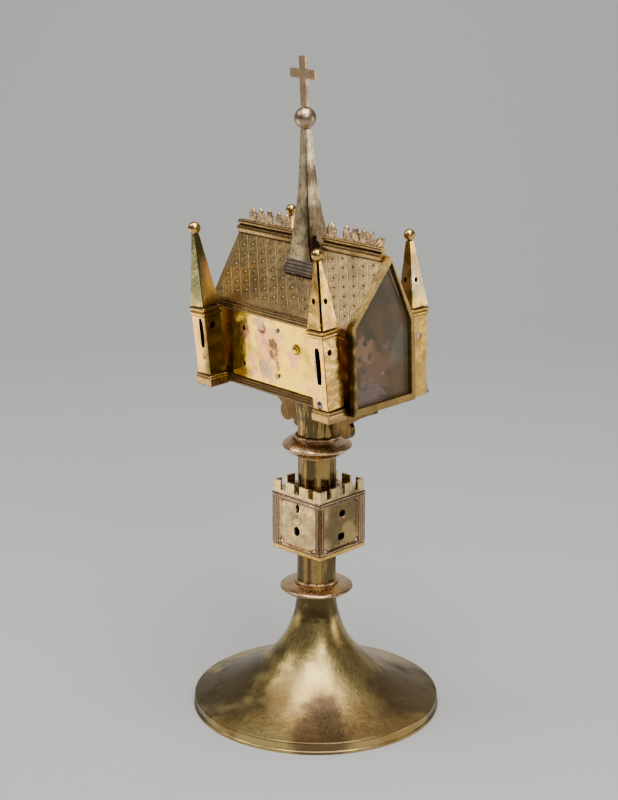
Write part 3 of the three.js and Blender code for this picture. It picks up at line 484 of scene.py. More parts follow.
def lattice(s, colour):
    """The roof's tooling: slanting columns and rows of punched dots, scored lines and strokes.
    West of the spire the dots carry a painted highlight and their rims painted shade; east of it
    the dots carry painted shade and their rims a painted highlight.
    """
    x, y, z = s.axes()
    column, row, narrow = LATTICE.column, LATTICE.row, LATTICE.narrow
    along = s.plus(s.math("DIVIDE", x, MM), 0.55)
    down = s.minus(LATTICE.origin, s.times(z, LATTICE.steep / MM))
    a = s.math("DIVIDE", s.minus(along, s.times(down, LATTICE.slant)), column)
    b = s.math("DIVIDE", s.plus(down, s.times(along, LATTICE.climb)), row)
    past_spire = s.ramp(along, 0, 12)
    a = s.minus(s.math("FRACT", s.plus(a, s.blend(past_spire, 0.7, 0.45))), 0.5)
    b = s.minus(s.math("FRACT", s.plus(b, s.blend(past_spire, 0.82, 0.45))), 0.5)
    side = s.times(s.plus(s.times(a, column), s.times(b, 3.2)), narrow)
    rise = s.times(b, row)
    away = s.math("SQRT", s.plus(s.math("POWER", side, 2.0), s.math("POWER", rise, 2.0)))
    dot = s.rest(s.ramp(away, 0.3, 0.72))
    ring = s.minus(s.ramp(away, 0.6, 0.8), s.ramp(away, 0.9, 1.25))
    gap = s.times(s.minus(0.5, s.math("ABSOLUTE", a)), column * narrow)
    score = s.rest(s.ramp(gap, 0.08, 0.3))
    stroke = s.math("PINGPONG", s.times(s.plus(a, b), 4.0), 0.5)
    stroke = s.rest(s.ramp(stroke, 0.05, 0.2))
    stroke = s.times(stroke, s.rest(s.ramp(away, 1.6, 2.6)))
    field = s.times(s.ramp(down, 1.8, 2.4), s.rest(s.ramp(down, 32.5, 33.2)))
    field = s.times(field, s.ramp(along, -46.5, -46.0))
    field = s.times(field, s.ramp(y, -3.5 * MM, -5 * MM))
    # east swaps the painted highlight and the painted shade between the dots and their rims.
    east = s.ramp(along, 2, 14)
    # dark serves the scored lines and the painted shade, light the painted highlights.
    dark, light = (0.05, 0.03, 0.015), (0.62, 0.46, 0.20)
    lines = s.times(s.math("MAXIMUM", s.times(score, 0.55), s.times(stroke, 0.35)), field)
    colour = s.mix(lines, colour, dark)
    ring = s.times(ring, field)
    colour = s.mix(s.times(ring, s.blend(east, 0.5, 0.0)), colour, dark)
    colour = s.mix(s.times(ring, s.blend(east, 0.0, 0.35)), colour, light)
    dotted = s.times(dot, field)
    colour = s.mix(s.times(s.times(dotted, s.rest(east)), 0.85), colour, light)
    colour = s.mix(s.times(s.times(dotted, east), 0.85), colour, dark)
    lift = s.times(dotted, s.blend(east, 1.0, -1.0))
    return colour, s.minus(lift, s.times(lines, 0.5))


GOLD = (0.60, 0.36, 0.09)
PALE = (0.80, 0.53, 0.16)
COPPER = (0.42, 0.20, 0.08)
ROSE = (0.80, 0.38, 0.21)
LILAC = (0.40, 0.27, 0.25)
OLIVE = (0.20, 0.15, 0.05)
BROWN = (0.12, 0.065, 0.03)
SHADE = (0.075, 0.055, 0.02)
DEEP_SHADE = (0.03, 0.018, 0.008)

# Places in the part's frame, in millimetres, where the gilding differs or where shade and reflections are
# painted, as aged_metal takes them.
# Painted shade on the west front turret's face towards the wall.
INNER_CORNER_SHADE = [((-34, -31, z), 8.5, SHADE, 0.9, 0.1) for z in (166, 174, 182, 190, 198)]
# Painted shade on the front wall in the gap between the east front turret and the gable frame.
BESIDE_GABLE_SHADE = [((45, -25, z), 6.5, DEEP_SHADE, 0.95, 0.15) for z in (164, 172, 180, 188, 196)]
# Painted shadow on the gable frame's front side wall.
FRAME_EDGE_SHADE = [((47, -27, z), 6, DEEP_SHADE, 0.95, 0.15) for z in (164, 172, 180, 188, 196)]
WEST_CAP = [*(((-46, -38, z), 8.5, (0.27, 0.28, 0.14), 0.9, 0.2) for z in (206, 216, 226, 236)),
            ((-35, -28, 220), 10, (0.95, 0.56, 0.33), 0.9, 0.2),
            ((-38, -29, 238), 6, (0.85, 0.50, 0.28), 0.8, 0.2)]
BACK_CAP = [((47, 21, 222), 13, (0.33, 0.235, 0.09), 0.85), ((46, 18, 222), 5, LILAC, 0.4),
            ((46, 23, 213), 6, (0.26, 0.28, 0.16), 0.6),
            ((36, 13, 218), 9, (0.90, 0.66, 0.46), 0.8)]
RIVET = ((40.0, -34.8, 167.8), 1.9, (0.46, 0.42, 0.40), 0.95, 0.05)
# The front wall: rose, lilac and brown stains round the boss, a painted dark reflection of the west front
# turret at the west end, and painted shade beside the gable.
WALL_STAINS_AND_SHADE = [
    ((-8, -23, 184), 10, ROSE, 0.75), ((-14, -23, 193), 4, LILAC, 0.7), ((-10, -23, 172), 5, LILAC, 0.8),
    ((-5, -23, 185), 3, BROWN, 0.9), ((-45, -23, 190), 12, SHADE, 0.75, 0.1),
    ((-45, -23, 172), 12, SHADE, 0.75, 0.1), *BESIDE_GABLE_SHADE,
]
ROOF_STAINS = [((-36, -18, 208), 10, (0.52, 0.28, 0.07), 0.7), ((38, -16, 214), 24, (0.58, 0.40, 0.18), 0.6)]
KNOP_STAINS = [((19, 4, 97), 16, (0.15, 0.105, 0.045), 0.9, 0.25),
               ((16, 8, 90), 6, (0.60, 0.42, 0.16), 0.7), ((1, -15, 98), 3.2, (0.20, 0.16, 0.12), 0.7)]
# Painted shadow of the lower ring on the neck, the two dark sides, and the brown patch that runs down to the
# rim in front.
FOOT_STAINS_AND_SHADE = [
    ((0, 0, 60), 18, (0.075, 0.05, 0.022), 0.9), ((-32, -36, 8), 31, (0.10, 0.068, 0.034), 0.85),
    ((36, 34, 8), 29, (0.15, 0.098, 0.048), 0.8), ((23, -14, 12), 7, (0.13, 0.085, 0.05), 0.9, 0.3),
    ((30, -23, 9), 11, (0.13, 0.085, 0.05), 0.9, 0.25), ((40, -34, 6), 15, (0.14, 0.09, 0.05), 0.85, 0.25),
]
# Painted shade over the spire's east face.
SPIRE_EAST_SHADE = [((x, y, z), radius, (0.115, 0.075, 0.045), 0.92, 0.12)
              for x, y, z, radius in ((13, -4, 228, 14.5), (12, -4, 245, 13), (10, -5, 262, 11),
                                      (8.5, -5, 277, 8))]

# Near black for the inner faces of hollow sheets: painted shade where no light reaches.
inner_shade = aged_metal(
    "inner_shade", (0.02, 0.014, 0.008), (0.03, 0.02, 0.012), (0.01, 0.008, 0.006), roughness=(0.7, 0.9))
gilt = aged_metal("gilt", GOLD, PALE, OLIVE)
frame_gilt = aged_metal(
    "frame_gilt", (0.36, 0.24, 0.08), (0.30, 0.19, 0.07), BROWN, roughness=(0.2, 0.34), speckle=0.2,
    patches=FRAME_EDGE_SHADE)
turret_gilt = aged_metal(
    "turret_gilt", (0.92, 0.58, 0.15), (0.68, 0.38, 0.10), COPPER, roughness=(0.12, 0.26), dents=0.35,
    speckle=0.2, patches=[*INNER_CORNER_SHADE, *WEST_CAP, *BACK_CAP, RIVET])
ball_gilt = aged_metal(
    "ball_gilt", (0.78, 0.50, 0.15), (0.64, 0.38, 0.11), BROWN, roughness=(0.16, 0.3), dents=0.2)
wall_gilt = aged_metal(
    "wall_gilt", (1.0, 0.68, 0.075), ROSE, OLIVE, wear=(0.52, 0.62), roughness=(0.12, 0.26), grime=0.6,
    dents=0.35, speckle=0.1, patches=WALL_STAINS_AND_SHADE)
roof_gilt = aged_metal(
    "roof_gilt", (0.30, 0.205, 0.085), (0.235, 0.16, 0.08), BROWN, patch=14, roughness=(0.3, 0.44),
    grime=0.9, dents=0.3, speckle=0.25, detail=lattice, patches=ROOF_STAINS)
spire_gilt = aged_metal(
    "spire_gilt", (0.92, 0.77, 0.48), (0.60, 0.46, 0.28), BROWN, patch=4, roughness=(0.22, 0.38),
    dents=0.4, patches=SPIRE_EAST_SHADE)
cross_gilt = aged_metal(
    "cross_gilt", (0.60, 0.43, 0.28), (0.48, 0.33, 0.21), BROWN, patch=4, roughness=(0.26, 0.42),
    dents=0.2)
trim = aged_metal(
    "trim", (0.33, 0.215, 0.085), (0.27, 0.17, 0.09), BROWN, roughness=(0.2, 0.36), dents=0.3,
    speckle=0.2)
trim_dark = aged_metal(
    "trim_dark", (0.20, 0.13, 0.055), (0.17, 0.11, 0.055), BROWN, roughness=(0.24, 0.4), dents=0.3,
    speckle=0.2)
trim_light = aged_metal(
    "trim_light", (0.50, 0.33, 0.11), (0.40, 0.24, 0.10), BROWN, roughness=(0.2, 0.34), speckle=0.2)
# Dark brown metal for the brackets under the casket, darkened further as painted shade.
shaded_bronze = aged_metal("shaded_bronze", (0.11, 0.065, 0.024), (0.075, 0.045, 0.018), BROWN, roughness=(0.2, 0.36))
leaf_gilt = aged_metal(
    "leaf_gilt", (0.76, 0.53, 0.30), (0.62, 0.42, 0.28), BROWN, roughness=(0.24, 0.4), dents=0.1)
stem_gilt = aged_metal(
    "stem_gilt", (0.38, 0.245, 0.08), (0.24, 0.155, 0.05), OLIVE, roughness=(0.08, 0.18), dents=0.2,
    speckle=0.2, grime=0.3, detail=streaks)
ring_gilt = aged_metal(
    "ring_gilt", (0.82, 0.56, 0.30), (0.62, 0.41, 0.25), BROWN, roughness=(0.2, 0.36), dents=0.2,
    speckle=0.25, grime=0.4)
knop_gilt = aged_metal(
    "knop_gilt", (0.95, 0.70, 0.33), (0.66, 0.43, 0.20), BROWN, patch=5, roughness=(0.16, 0.32),
    dents=0.3, speckle=0.25, detail=knop_frame, patches=KNOP_STAINS)
foot_gilt = aged_metal(
    "foot_gilt", (0.54, 0.40, 0.15), (0.44, 0.275, 0.095), OLIVE, patch=34, roughness=(0.27, 0.4),
    dents=0.4, speckle=0.10, grime=0, pits=0, soil=0.6, patches=FOOT_STAINS_AND_SHADE)
slate = aged_metal(
    "slate", (0.19, 0.15, 0.115), (0.14, 0.105, 0.085), BROWN, roughness=(0.3, 0.46), detail=ruled)
silver = aged_metal("silver", (0.62, 0.63, 0.64), (0.5, 0.5, 0.52), (0.2, 0.2, 0.2), roughness=(0.2, 0.4))


# Painted reflections in the pane: centre, radius, tint and share.
PANE_REFLECTIONS = [((47, -15, 190), 6, (0.62, 0.35, 0.19), 0.5), ((47, -7, 181), 10, (0.36, 0.19, 0.11), 0.5),
          ((47, -12, 169), 8, (0.34, 0.27, 0.27), 0.45), ((47, 7, 190), 8, (0.22, 0.24, 0.19), 0.4)]


def window_glass():
    """Old see-through glass with brown clouds in it and painted reflections on it."""
    s = Shader("window_glass")
    tint = s.mix(s.ramp(s.noise(9, 3), 0.35, 0.7), (0.20, 0.125, 0.06), (0.115, 0.095, 0.06))
    for centre, radius, shade, share in PANE_REFLECTIONS:
        tint = s.mix(s.times(s.near(centre, radius, 0.9), share), tint, shade)
    s.fill(s.bsdf, Base_Color=tint, Alpha=0.62, IOR=1.5, Roughness=s.blend(s.noise(9, 3), 0.03, 0.10),
           Normal=s.bump(s.noise(16, 2), 0.3))
    return s.material


pane_glass = window_glass()

# ---- foot and stem


def foot_radius(z):
    """The trumpet's outer radius: a steep neck that flares into a flat skirt."""
    t = (FLARE.top - z) / (FLARE.top - FOOT.rim)
    curve = (1 - FLARE.skirt) * t ** FLARE.power
    skirt = FLARE.skirt * t ** (3 * FLARE.power)
    return FOOT.neck + (FOOT.radius - 0.7 - FOOT.neck) * (curve + skirt)


def foot():
    big, thick, rim, lip, top = FOOT.radius, FOOT.sheet, FOOT.rim, FOOT.lip, FOOT.top
    steps = [rim + (top - rim) * (i / 60) ** 1.7 for i in range(61)]
    outside = [(foot_radius(z), z) for z in steps]
    inside = [(foot_radius(z) - thick * 1.05, z - thick * 0.9) for z in steps[::3] if z < top - 1]
    edge = [(big - thick, 0), (big, 0), (big, lip), (big - 0.7, lip + 0.5), (big - 0.3, rim - 0.6)]
    start = rounded([*edge, outside[0], outside[1]], 0.3)[:-6]
    profile = [*start, *outside[1:], (STEM_BORE, top), (STEM_BORE, top - 4), *inside[::-1]]
    profile.append((big - thick - 0.9, 3.4))

    def wobble(a, r, z):
        if r > 57.5 or z > 50:
            return 0
        x, y = r * math.cos(a), r * math.sin(a)
        return 0.22 * rough(x, y, z, 16) + 0.08 * rough(x, y, z, 5, 1)

    return turned("foot_surface", profile, WORLD, foot_gilt, 224, wobble)


piece(foot(), "foot_brass", "foot")


def stem_ring(name, ring):
    """A flattened ring: a collar, a convex underside, a rounded edge and a roped crest."""
    bottom, edge, top = ring.bottom, ring.edge, ring.top
    radius, collar, crest = ring.radius, ring.collar, ring.crest
    reach = radius - collar
    profile = [
        (collar, bottom), (collar + 0.5, bottom + 0.6), (collar + 0.3, bottom + 1.3),
        (collar + reach * 0.45, bottom + 1.8), (collar + reach * 0.82, edge - 1.4),
        (radius - 0.15, edge - 0.5), (radius, edge + 0.1), (radius - 0.5, edge + 0.8),
        (collar + reach * 0.68, edge + (top - edge) * 0.42),
        (collar + reach * 0.3, edge + (top - edge) * 0.6),
        (crest, top - 1.7), (crest + 0.55, top - 1.1), (crest + 0.4, top - 0.4),
        (crest - 0.5, top), (STEM_BORE, top), (STEM_BORE, bottom),
    ]

    def wobble(a, r, z):
        return 0.1 * rough(r * math.cos(a), r * math.sin(a), z, 9) * smooth(10, 12, r)

    return turned(name + "_surface", rounded(profile, 0.8, 4), WORLD, ring_gilt, 144, wobble, 50)


piece(stem_ring("lower_ring", LOWER_RING), "worn_gilt", "lower_ring")
piece(stem_ring("upper_ring", UPPER_RING), "dark_gilt", "upper_ring")

# ---- roof


def ridge_y(x):
    """The ridge runs at a slight slant from one gable to the other."""
    share = (x - ROOF.west) / (CASKET.east - ROOF.west)
    return ROOF.west_y + share * (ROOF.east_y - ROOF.west_y)


def slope(side):
    """The outer face of one roof slope. u runs along x and v down the slope in millimetres."""
    drop = ROOF.ridge - EAVE[side]
    middle = (ROOF.west_y + ROOF.east_y) / 2
    length = math.hypot(drop, ROOF.eave_y - side * middle)

    def place(u, v, out):
        y0 = ridge_y(u)
        run = ROOF.eave_y * side - y0
        full = math.hypot(run, drop)
        share = v / length
        normal = Vector((0, side * drop, abs(run))) / full
        point = Vector((u, y0 + run * share, ROOF.ridge - drop * share))
        return point + normal * out

    return place, length


def roof_slope(side, name):
    place, length = slope(side)
    size = ((ROOF.west, CASKET.east), (0.05, length))

    def relief(u, v):
        return 0.13 * rough(u, v, 0, 13, 5) + 0.05 * rough(u, v, 0, 5, 3)

    return sheet(name, place, size, 0.9, 0.9, relief, CASKET_AT, roof_gilt)


piece(roof_slope(-1, "roof_front"), "gilt", "casket_roof")
piece(roof_slope(1, "roof_back"), "gilt")

# ---- walls

# Nail holes by side, as sheet takes them.
WALL_HOLES = {
    -1: [(-35.9, 28.7, 0.9, 0.9, 2), (-24.8, 28.9, 1.1, 1.4, 2), (-25.4, 11.3, 1.0, 1.3, 2)],
    1: [(-30, 10, 1, 1, 2), (30, 10, 1, 1, 2)],
}


def wall(side, name, material):
    """A long wall. The front one has two dents, the swelling behind its boss and a short crack."""
    size = ((CASKET.west, CASKET.east), (CASKET.sill, WALL_TOP[side]))

    def place(u, v, out):
        return Vector((u, side * (CASKET.wall - 0.35 + out), v))

    def relief(u, v):
        height = 0.22 * rough(u, v, 0, 15, 3 + side) + 0.10 * rough(u, v, 0, 6, 4)
        if side < 0:
            height -= 0.55 * bump_at(math.hypot(u + 4.2, (v - 22.5) * 0.7), 4.2)
            height += 0.5 * bump_at(math.hypot(u - 12.5, v - 25), 3.6)
            height -= 0.35 * bump_at(math.hypot(u + 12, (v - 31) * 1.1), 3.5)
            crack = abs(u + 1.9 - 0.22 * (18 - v))
            height -= 0.3 * bump_at(crack, 0.45) * smooth(12.4, 13.4, v) * (1 - smooth(18, 19, v))
        return height

    return sheet(name, place, size, 0.5, 0.6, relief, CASKET_AT, material, WALL_HOLES[side])


piece(wall(-1, "wall_front_sheet", wall_gilt), "gilt", "wall_front")
piece(wall(1, "wall_back_sheet", gilt), "gilt", "wall_back")

# ---- spire


def spire_half(z):
    """The half width at height z."""
    spans = zip(SPIRE_HEIGHTS, SPIRE_HALVES, SPIRE_HEIGHTS[1:], SPIRE_HALVES[1:])
    for z0, h0, z1, h1 in spans:
        if z <= z1 or z1 == SPIRE_HEIGHTS[-1]:
            return h0 + (h1 - h0) * (z - z0) / (z1 - z0)


def spire():
    """The hollow spire, cut to the two slopes, with an open seam along its near corner."""
    bottom, top = SPIRE_HEIGHTS[0], SPIRE_HEIGHTS[-1]
    seam = 0.85

    def point(k, t, z, inset):
        """Where a line at share t of face k passes height z, with the foot flared along the ridge."""
        h = max(spire_half(z) - inset, 0.3)
        wide = h + SPIRE.flare * max(0, 1 - (z - bottom) / 16) ** 1.6
        (ax, ay), (bx, by) = CORNERS[k], CORNERS[(k + 1) % 4]
        x, y = (ax + (bx - ax) * t) * wide, (ay + (by - ay) * t) * h
        bulge = 0 if inset else 0.18 * (1 - (2 * t - 1) ** 2) - 0.1 * rough(x, y, z, 7, 8)
        if abs(ay + by) == 2:
            y += math.copysign(bulge, ay)
        else:
            x += math.copysign(bulge, ax)
        return x, y

    def foot_height(k, t):
        """The height where the line meets the roof, found by closing in on it."""
        z = 70.0
        for _ in range(12):
            x, y = point(k, t, z, 0)
            ridge = ridge_y(x + SPIRE.x)
            rise = ridge - SPIRE.y
            side = -1 if y < rise else 1
            run = abs(ROOF.eave_y * side - ridge)
            z = ROOF.ridge - abs(y - rise) / run * (ROOF.ridge - EAVE[side]) + 0.25
            z = max(z, bottom)
        return z

    across, levels = 14, 70
    lines = [(k, i / across) for k in range(4) for i in range(across)]
    lines = [(k, 0.03 + 0.97 * t if k == 0 else t) for k, t in lines]
    lines.append((3, 0.965))
    feet = [foot_height(k, t) for k, t in lines]
    rings = []
    for inset, order in ((0, range(levels + 1)), (SPIRE.sheet, range(levels, -1, -1))):
        for level in order:
            ring = []
            for (k, t), z0 in zip(lines, feet):
                z = z0 + (top - z0) * level / levels
                x, y = point(k, t, z, inset)
                ring.append((x, y, z - 0.6 if inset and level == levels else z))
            z = ring[0][2]
            x, y = point(0, 0, z, inset)
            depth = 0 if inset else seam
            ring.append((x - depth, y + depth, z))
            rings.append(ring)
    return lofted("spire_surface", rings, SPIRE_AT, spire_gilt, 32, True)


piece(spire(), "bare_copper", "spire")

# ---- mouldings


def strip(name, ends, section, side, material, centre=None, wave=0.06):
    """A long moulding along X with a section of (y, z), mirrored to either long side. centre(x)
    moves it in y."""
    x0, x1 = ends
    count = max(8, round((x1 - x0) / 1.2))
    rings = []
    for i in range(count + 1):
        x = x0 + (x1 - x0) * i / count
        sag = wave * rough(x, 0, side, 9, 11) + wave * 0.5 * rough(x, 0, side, 3, 12)
        middle = centre(x) if centre else 0
        ring = [(x, side * y + middle, z + sag) for y, z in section]
        rings.append(ring if side > 0 else ring[::-1])
    return lofted(name, rings, CASKET_AT, material, 40)


CORNICE = [(19.4, 37.2), (20.1, 36.9), (20.6, 37.4), (20.55, 38.3), (19.9, 38.55), (20.3, 38.8),
           (20.35, 39.5), (19.55, 39.75), (19.75, 40.1), (19.6, 40.9), (18.9, 41.3), (18.15, 40.9),
           (18.15, 38.95), (19.4, 38.95)]
PLINTH = [(19.4, 0.9), (20.4, 0.8), (20.65, 1.4), (20.55, 2.1), (19.95, 2.35), (20.4, 2.6),
          (20.3, 3.3), (19.8, 3.5), (20.05, 3.7), (20.0, 4.3), (19.4, 4.6)]
for side, name in ((-1, "front"), (1, "back")):
    lift = EAVE[side] - EAVE[-1]
    section = rounded([(y, z + lift) for y, z in CORNICE], 0.35)
    ends = (CASKET.west, CASKET.east)
    made = strip("cornice_" + name + "_rolls", ends, section, side, trim)
    piece(made, "gilt", "cornice_" + name)
    made = strip("plinth_" + name + "_reeds", (-35.25, 35.25), rounded(PLINTH, 0.35), side, trim_dark)
    piece(made, "gilt", "plinth_" + name)

BASE = ROOF.ridge + GAP
CREST = BASE + 4.1
HALF_BAR = [(2.0, BASE - 2.0), (2.35, BASE - 0.3), (2.2, BASE + 0.9), (1.5, BASE + 1.3),
            (0.6, BASE + 1.5), (0.6, BASE + 1.8), (1.35, BASE + 2.1), (1.6, BASE + 3.1), (1.0, CREST)]
BAR = HALF_BAR + [(-y, z) for y, z in HALF_BAR[::-1]]
for name, ends in (("west", (ROOF.west, -8)), ("east", (9.6, 46.85))):
    made = strip("ridge_bar_" + name + "_rolls", ends, rounded(BAR, 0.4), 1, trim, ridge_y, 0.1)
    piece(made, "bare_copper", "ridge_bar_" + name)

# ---- cresting

# The lobed outline of a leaf: share of its height, share of its half width.
LEAF_EDGE = [(0, 0.5), (0.08, 0.66), (0.16, 0.98), (0.3, 1.02), (0.38, 0.86), (0.46, 1.0), (0.58, 0.92),
             (0.64, 0.72), (0.72, 0.74), (0.84, 0.5), (0.93, 0.24), (1, 0.04)]


def leaf(x, width, height, tilt, seed):
    """Rings up one pierced-work leaf, domed and veined: its front from left to right, then its back."""
    rings = []
    across, rows = 10, 34
    turn = Matrix.Rotation(deg(tilt), 4, "Y")
    for j in range(rows + 1):
        t = j / rows
        half = 0
        for (t0, w0), (t1, w1) in zip(LEAF_EDGE, LEAF_EDGE[1:]):
            if t0 <= t <= t1:
                half = (w0 + (w1 - w0) * (t - t0) / (t1 - t0)) * width / 2
        ring = []
        for face in (-1, 1):
            for i in range(across + 1):
                c = face * (1 - 2 * i / across)
                dome = 0.55 * (1 - c * c) ** 0.7 + 0.14 * math.cos(c * 9 + t * 7 + seed)
                dome -= 0.32 * bump_at(abs(c), 0.25)
                y = face * (0.28 + max(dome, 0) * (0.8 if t < 0.93 else 0.4))
                spot = turn @ Vector((c * half, y, t * height))
                ring.append(spot + Vector((x, ridge_y(x), CREST)))
        rings.append(ring)
    return rings


# The leaves of each row: place along the ridge, width and tilt. The last one is bent over. Each row
# stands on a narrow fillet.
LEAVES = {
    "west": [(-38.9, 5.3, 0), (-33.5, 5.2, 2), (-27.1, 5.0, -1), (-21, 4.9, 1), (-15.6, 5.0, 0)],
    "east": [(14.2, 6.4, 1), (24.2, 5.2, -2), (29.6, 5.2, 1), (34.9, 4.9, 0), (39.2, 4.6, 4),
             (43.0, 4.6, 50)],
}
FILLET = [(-0.45, -0.5), (0.45, -0.5), (0.45, 0.5), (-0.45, 0.5)]
for name, row in LEAVES.items():
    parts = [leaf(x, width, 6.9, tilt, i * 1.7) for i, (x, width, tilt) in enumerate(row)]
    ends = (row[0][0] - 2.4, row[-1][0] + 2.2)
    parts.append([[Vector((x, ridge_y(x) + y, CREST + z)) for y, z in FILLET] for x in ends])
    points, faces = [], []
    for rings in parts:
        faces += [tuple(k + len(points) for k in face) for face in loft_faces(rings)]
        points += [spot for ring in rings for spot in ring]
    made = mesh_object("cresting_" + name + "_leaves", points, faces, CASKET_AT, leaf_gilt, 50)
    piece(made, "bare_copper", "cresting_" + name)

# ---- balls


def ball(name, radius, matrix, height, flat, material):
    """A hand-raised ball, closed below by the flat it stands on."""
    steps = 20
    low = math.asin(max(-0.99, (flat - height) / radius))
    profile = []
    for i in range(steps + 1):
        a = low + (math.pi / 2 - low) * i / steps
        profile.append((max(radius * math.cos(a), 0.02), height + radius * math.sin(a)))
    profile.append((0.02, flat))

    def wobble(a, r, z):
        return 0.06 * rough(r * math.cos(a), r * math.sin(a), z, 3, 6) * smooth(0.1, 1, r)

    return turned(name, profile, matrix, material, 48, wobble, 60)


seat = SPIRE_HEIGHTS[-1] + GAP
made = ball("spire_ball_surface", SPIRE.ball_radius, SPIRE_AT, SPIRE.ball, seat, cross_gilt)
piece(made, "bare_copper", "spire_ball")

# ---- turrets

# For each turret: its seams in the body and the cap, the slit as (shift, drop, half width, half
# height), the round hole as (shift, drop, radius), and the radius of the holes in the cap.
CUTS = {
    "west_front": Sizes(seams=(0.12, 0.3), slit=(1.2, 0.6, 1.4, 7.2), hole=(-0.6, 4.2, 1.6), cap=0),
    "east_front": Sizes(seams=(0.35, 0.95), slit=(0.6, 4.4, 1.65, 8.5), hole=(-1.3, 6.6, 1.45), cap=1.3),
    "east_back": Sizes(seams=(0.1, 0.3), slit=(0.3, 4, 1.5, 8), hole=(-0.4, 9.6, 1.3), cap=1.1),
    "west_back": Sizes(seams=(0.1, 0.2), slit=(0.3, 4, 1.5, 8), hole=(0, 7, 1.5), cap=1.2),
}
SLIT_POWER = 7
LUMP = (-0.6, 2.2)  # the rivet low on the near turret, across its face and up from its foot
FACE = 9  # how far apart the noise of two faces lies
MOULDING = [(-0.35, 0), (0.12, 0.06), (0.12, 0.34), (-0.15, 0.42), (-0.6, 0.46), (-0.55, 0.54),
            (0.05, 0.6), (0.32, 0.72), (0.25, 0.88), (-0.2, 1)]
INNER = TURRET.half - TURRET.sheet


def square_body(name, outer, matrix, material):
    """A square moulding, bored square, from its outer profile of (half width, height)."""
    profile = rounded([*outer, (INNER, outer[-1][1]), (INNER, outer[0][1])], 0.25)
    rings = []
    for half, z in profile:
        ring = []
        for k in range(4):
            (ax, ay), (bx, by) = CORNERS[k], CORNERS[(k + 1) % 4]
            for t in (0.015, 0.05, *[i / 8 for i in range(1, 8)], 0.95, 0.985):
                ring.append(((ax + (bx - ax) * t) * half, (ay + (by - ay) * t) * half, z))
        rings.append(ring[::-1])
    return lofted(name, rings, matrix, material, 40, True)


def turret_body(name, spec, matrix, pivot, seed):
    """The body's sheet, with its slit on the long side and its round hole to the east."""
    half, cuts = TURRET.half, CUTS[name]
    tall = spec.top - spec.moulding - pivot - GAP
    aside, drop, wide, high = cuts.slit
    shift, low, radius = cuts.hole
    slit_z = tall - drop - high
    holes = [(0 if spec.sy < 0 else 2, spec.sy * aside / half, slit_z, wide, high, SLIT_POWER),
             (3, -shift / half, tall - low, radius, radius, 2)]

    def relief(k, c, v):
        u, across = k * FACE + c * half, c * half
        height = 0.16 * rough(u, v, 0, 9, seed) + 0.07 * rough(u, v, 0, 3, seed)
        if k == 0:
            height -= 0.35 * bump_at(math.hypot((across + aside) * 0.6, (v - slit_z) / high * 1.6), 2)
            if name == "east_front":
                height += bump_at(math.hypot(across + LUMP[0], v - LUMP[1]), 1.9)
            if name == "west_front":
                height -= 0.4 * bump_at(math.hypot(across + aside, (v - 9.5) * 0.5), 1.5)
        return height

    return folded("turret_body_" + name + "_sheet", lambda v: half, cuts.seams[0], (0.3, tall),
                  0.45, 0.6, relief, matrix, turret_gilt, holes)


def turret_cap(name, spec, matrix, seed):
    """The cap's sheet, folded to a point, with a hole low in two faces where it is pierced."""
    wide, tip, low = TURRET.moulding - 0.35, TURRET_TOP.tip, 0.35
    rise = TURRET_TOP.cap - spec.top
    hole_z, size = 0.42 * rise, CUTS[name].cap

    def taper(v):
        return wide + (tip - wide) * min(max((v - low) / (rise - low), 0), 1)

    def crease(k, c, v):
        return 0.14 * rough(k * FACE + c * 4, v, 0, 8, seed + 5)

    grow = wide / taper(hole_z)
    holes = [(k, 0.15, hole_z, size * grow, size * 1.1, 2) for k in (0, 3)] if size else []
    return folded("turret_cap_" + name + "_sheet", taper, CUTS[name].seams[1], (low, rise), 0.45, 0.5,
                  crease, matrix, turret_gilt, holes)


def turret_moulding(name, spec, matrix, pivot):
    start, height = spec.top - spec.moulding - pivot, spec.moulding - GAP
    outer = [(TURRET.moulding + out, start + share * height) for out, share in MOULDING]
    return square_body("turret_moulding_" + name + "_rolls", outer, matrix, turret_gilt)


def turret_base(name, matrix):
    half, top = 5.66, TURRET.base
    outer = [(half - 0.3, 0), (half, 0.5), (half - 0.05, top - 0.5), (half - 0.55, top - 0.15),
             (half - 0.15, top + 0.15), (half - 0.2, top + 0.75), (4.95, top + TURRET.ledge)]
    return square_body("turret_base_" + name + "_box", outer, matrix, trim_light)


for name, spec in TURRETS.items():
    baseless = name == "east_back"
    base_at, body_at, cap_at, pivot = turret_places(spec, baseless)
    seed = 20 + len(name) + spec.sx * 3 + spec.sy
    piece(turret_body(name, spec, body_at, pivot, seed), "gilt", "turret_body_" + name)
    piece(turret_cap(name, spec, cap_at, seed), "gilt", "turret_cap_" + name)
    piece(turret_moulding(name, spec, body_at, pivot), "gilt", "turret_moulding_" + name)
    if not baseless:
        piece(turret_base(name, base_at), "gilt", "turret_base_" + name)
    seat = TURRET_TOP.cap - spec.top + GAP
    middle = TURRET_TOP.ball - spec.top
    made = ball("turret_ball_" + name + "_surface", spec.ball, cap_at, middle, seat, ball_gilt)
    piece(made, "gilt", "turret_ball_" + name)

# ---- knop

# Holes in the knop: face, shift, height, half width, half height and power.
KNOP_CUTS = [
    (0, 0.05, 103.5, 1.2, 2.3, 2), (0, 0.07, 92, 2.1, 2.35, 2),
    (3, -0.10, 101, 2.2, 1.75, 2), (3, -0.05, 89.6, 2.3, 1.85, 4),
    *((k, 0, z, 1.7, 1.7, 2) for k in (1, 2) for z in (102, 91)),
]
ROLL = 1.3  # height of one roll of the knop's string course and foot
POSTS = 3.3  # width of the reeded posts


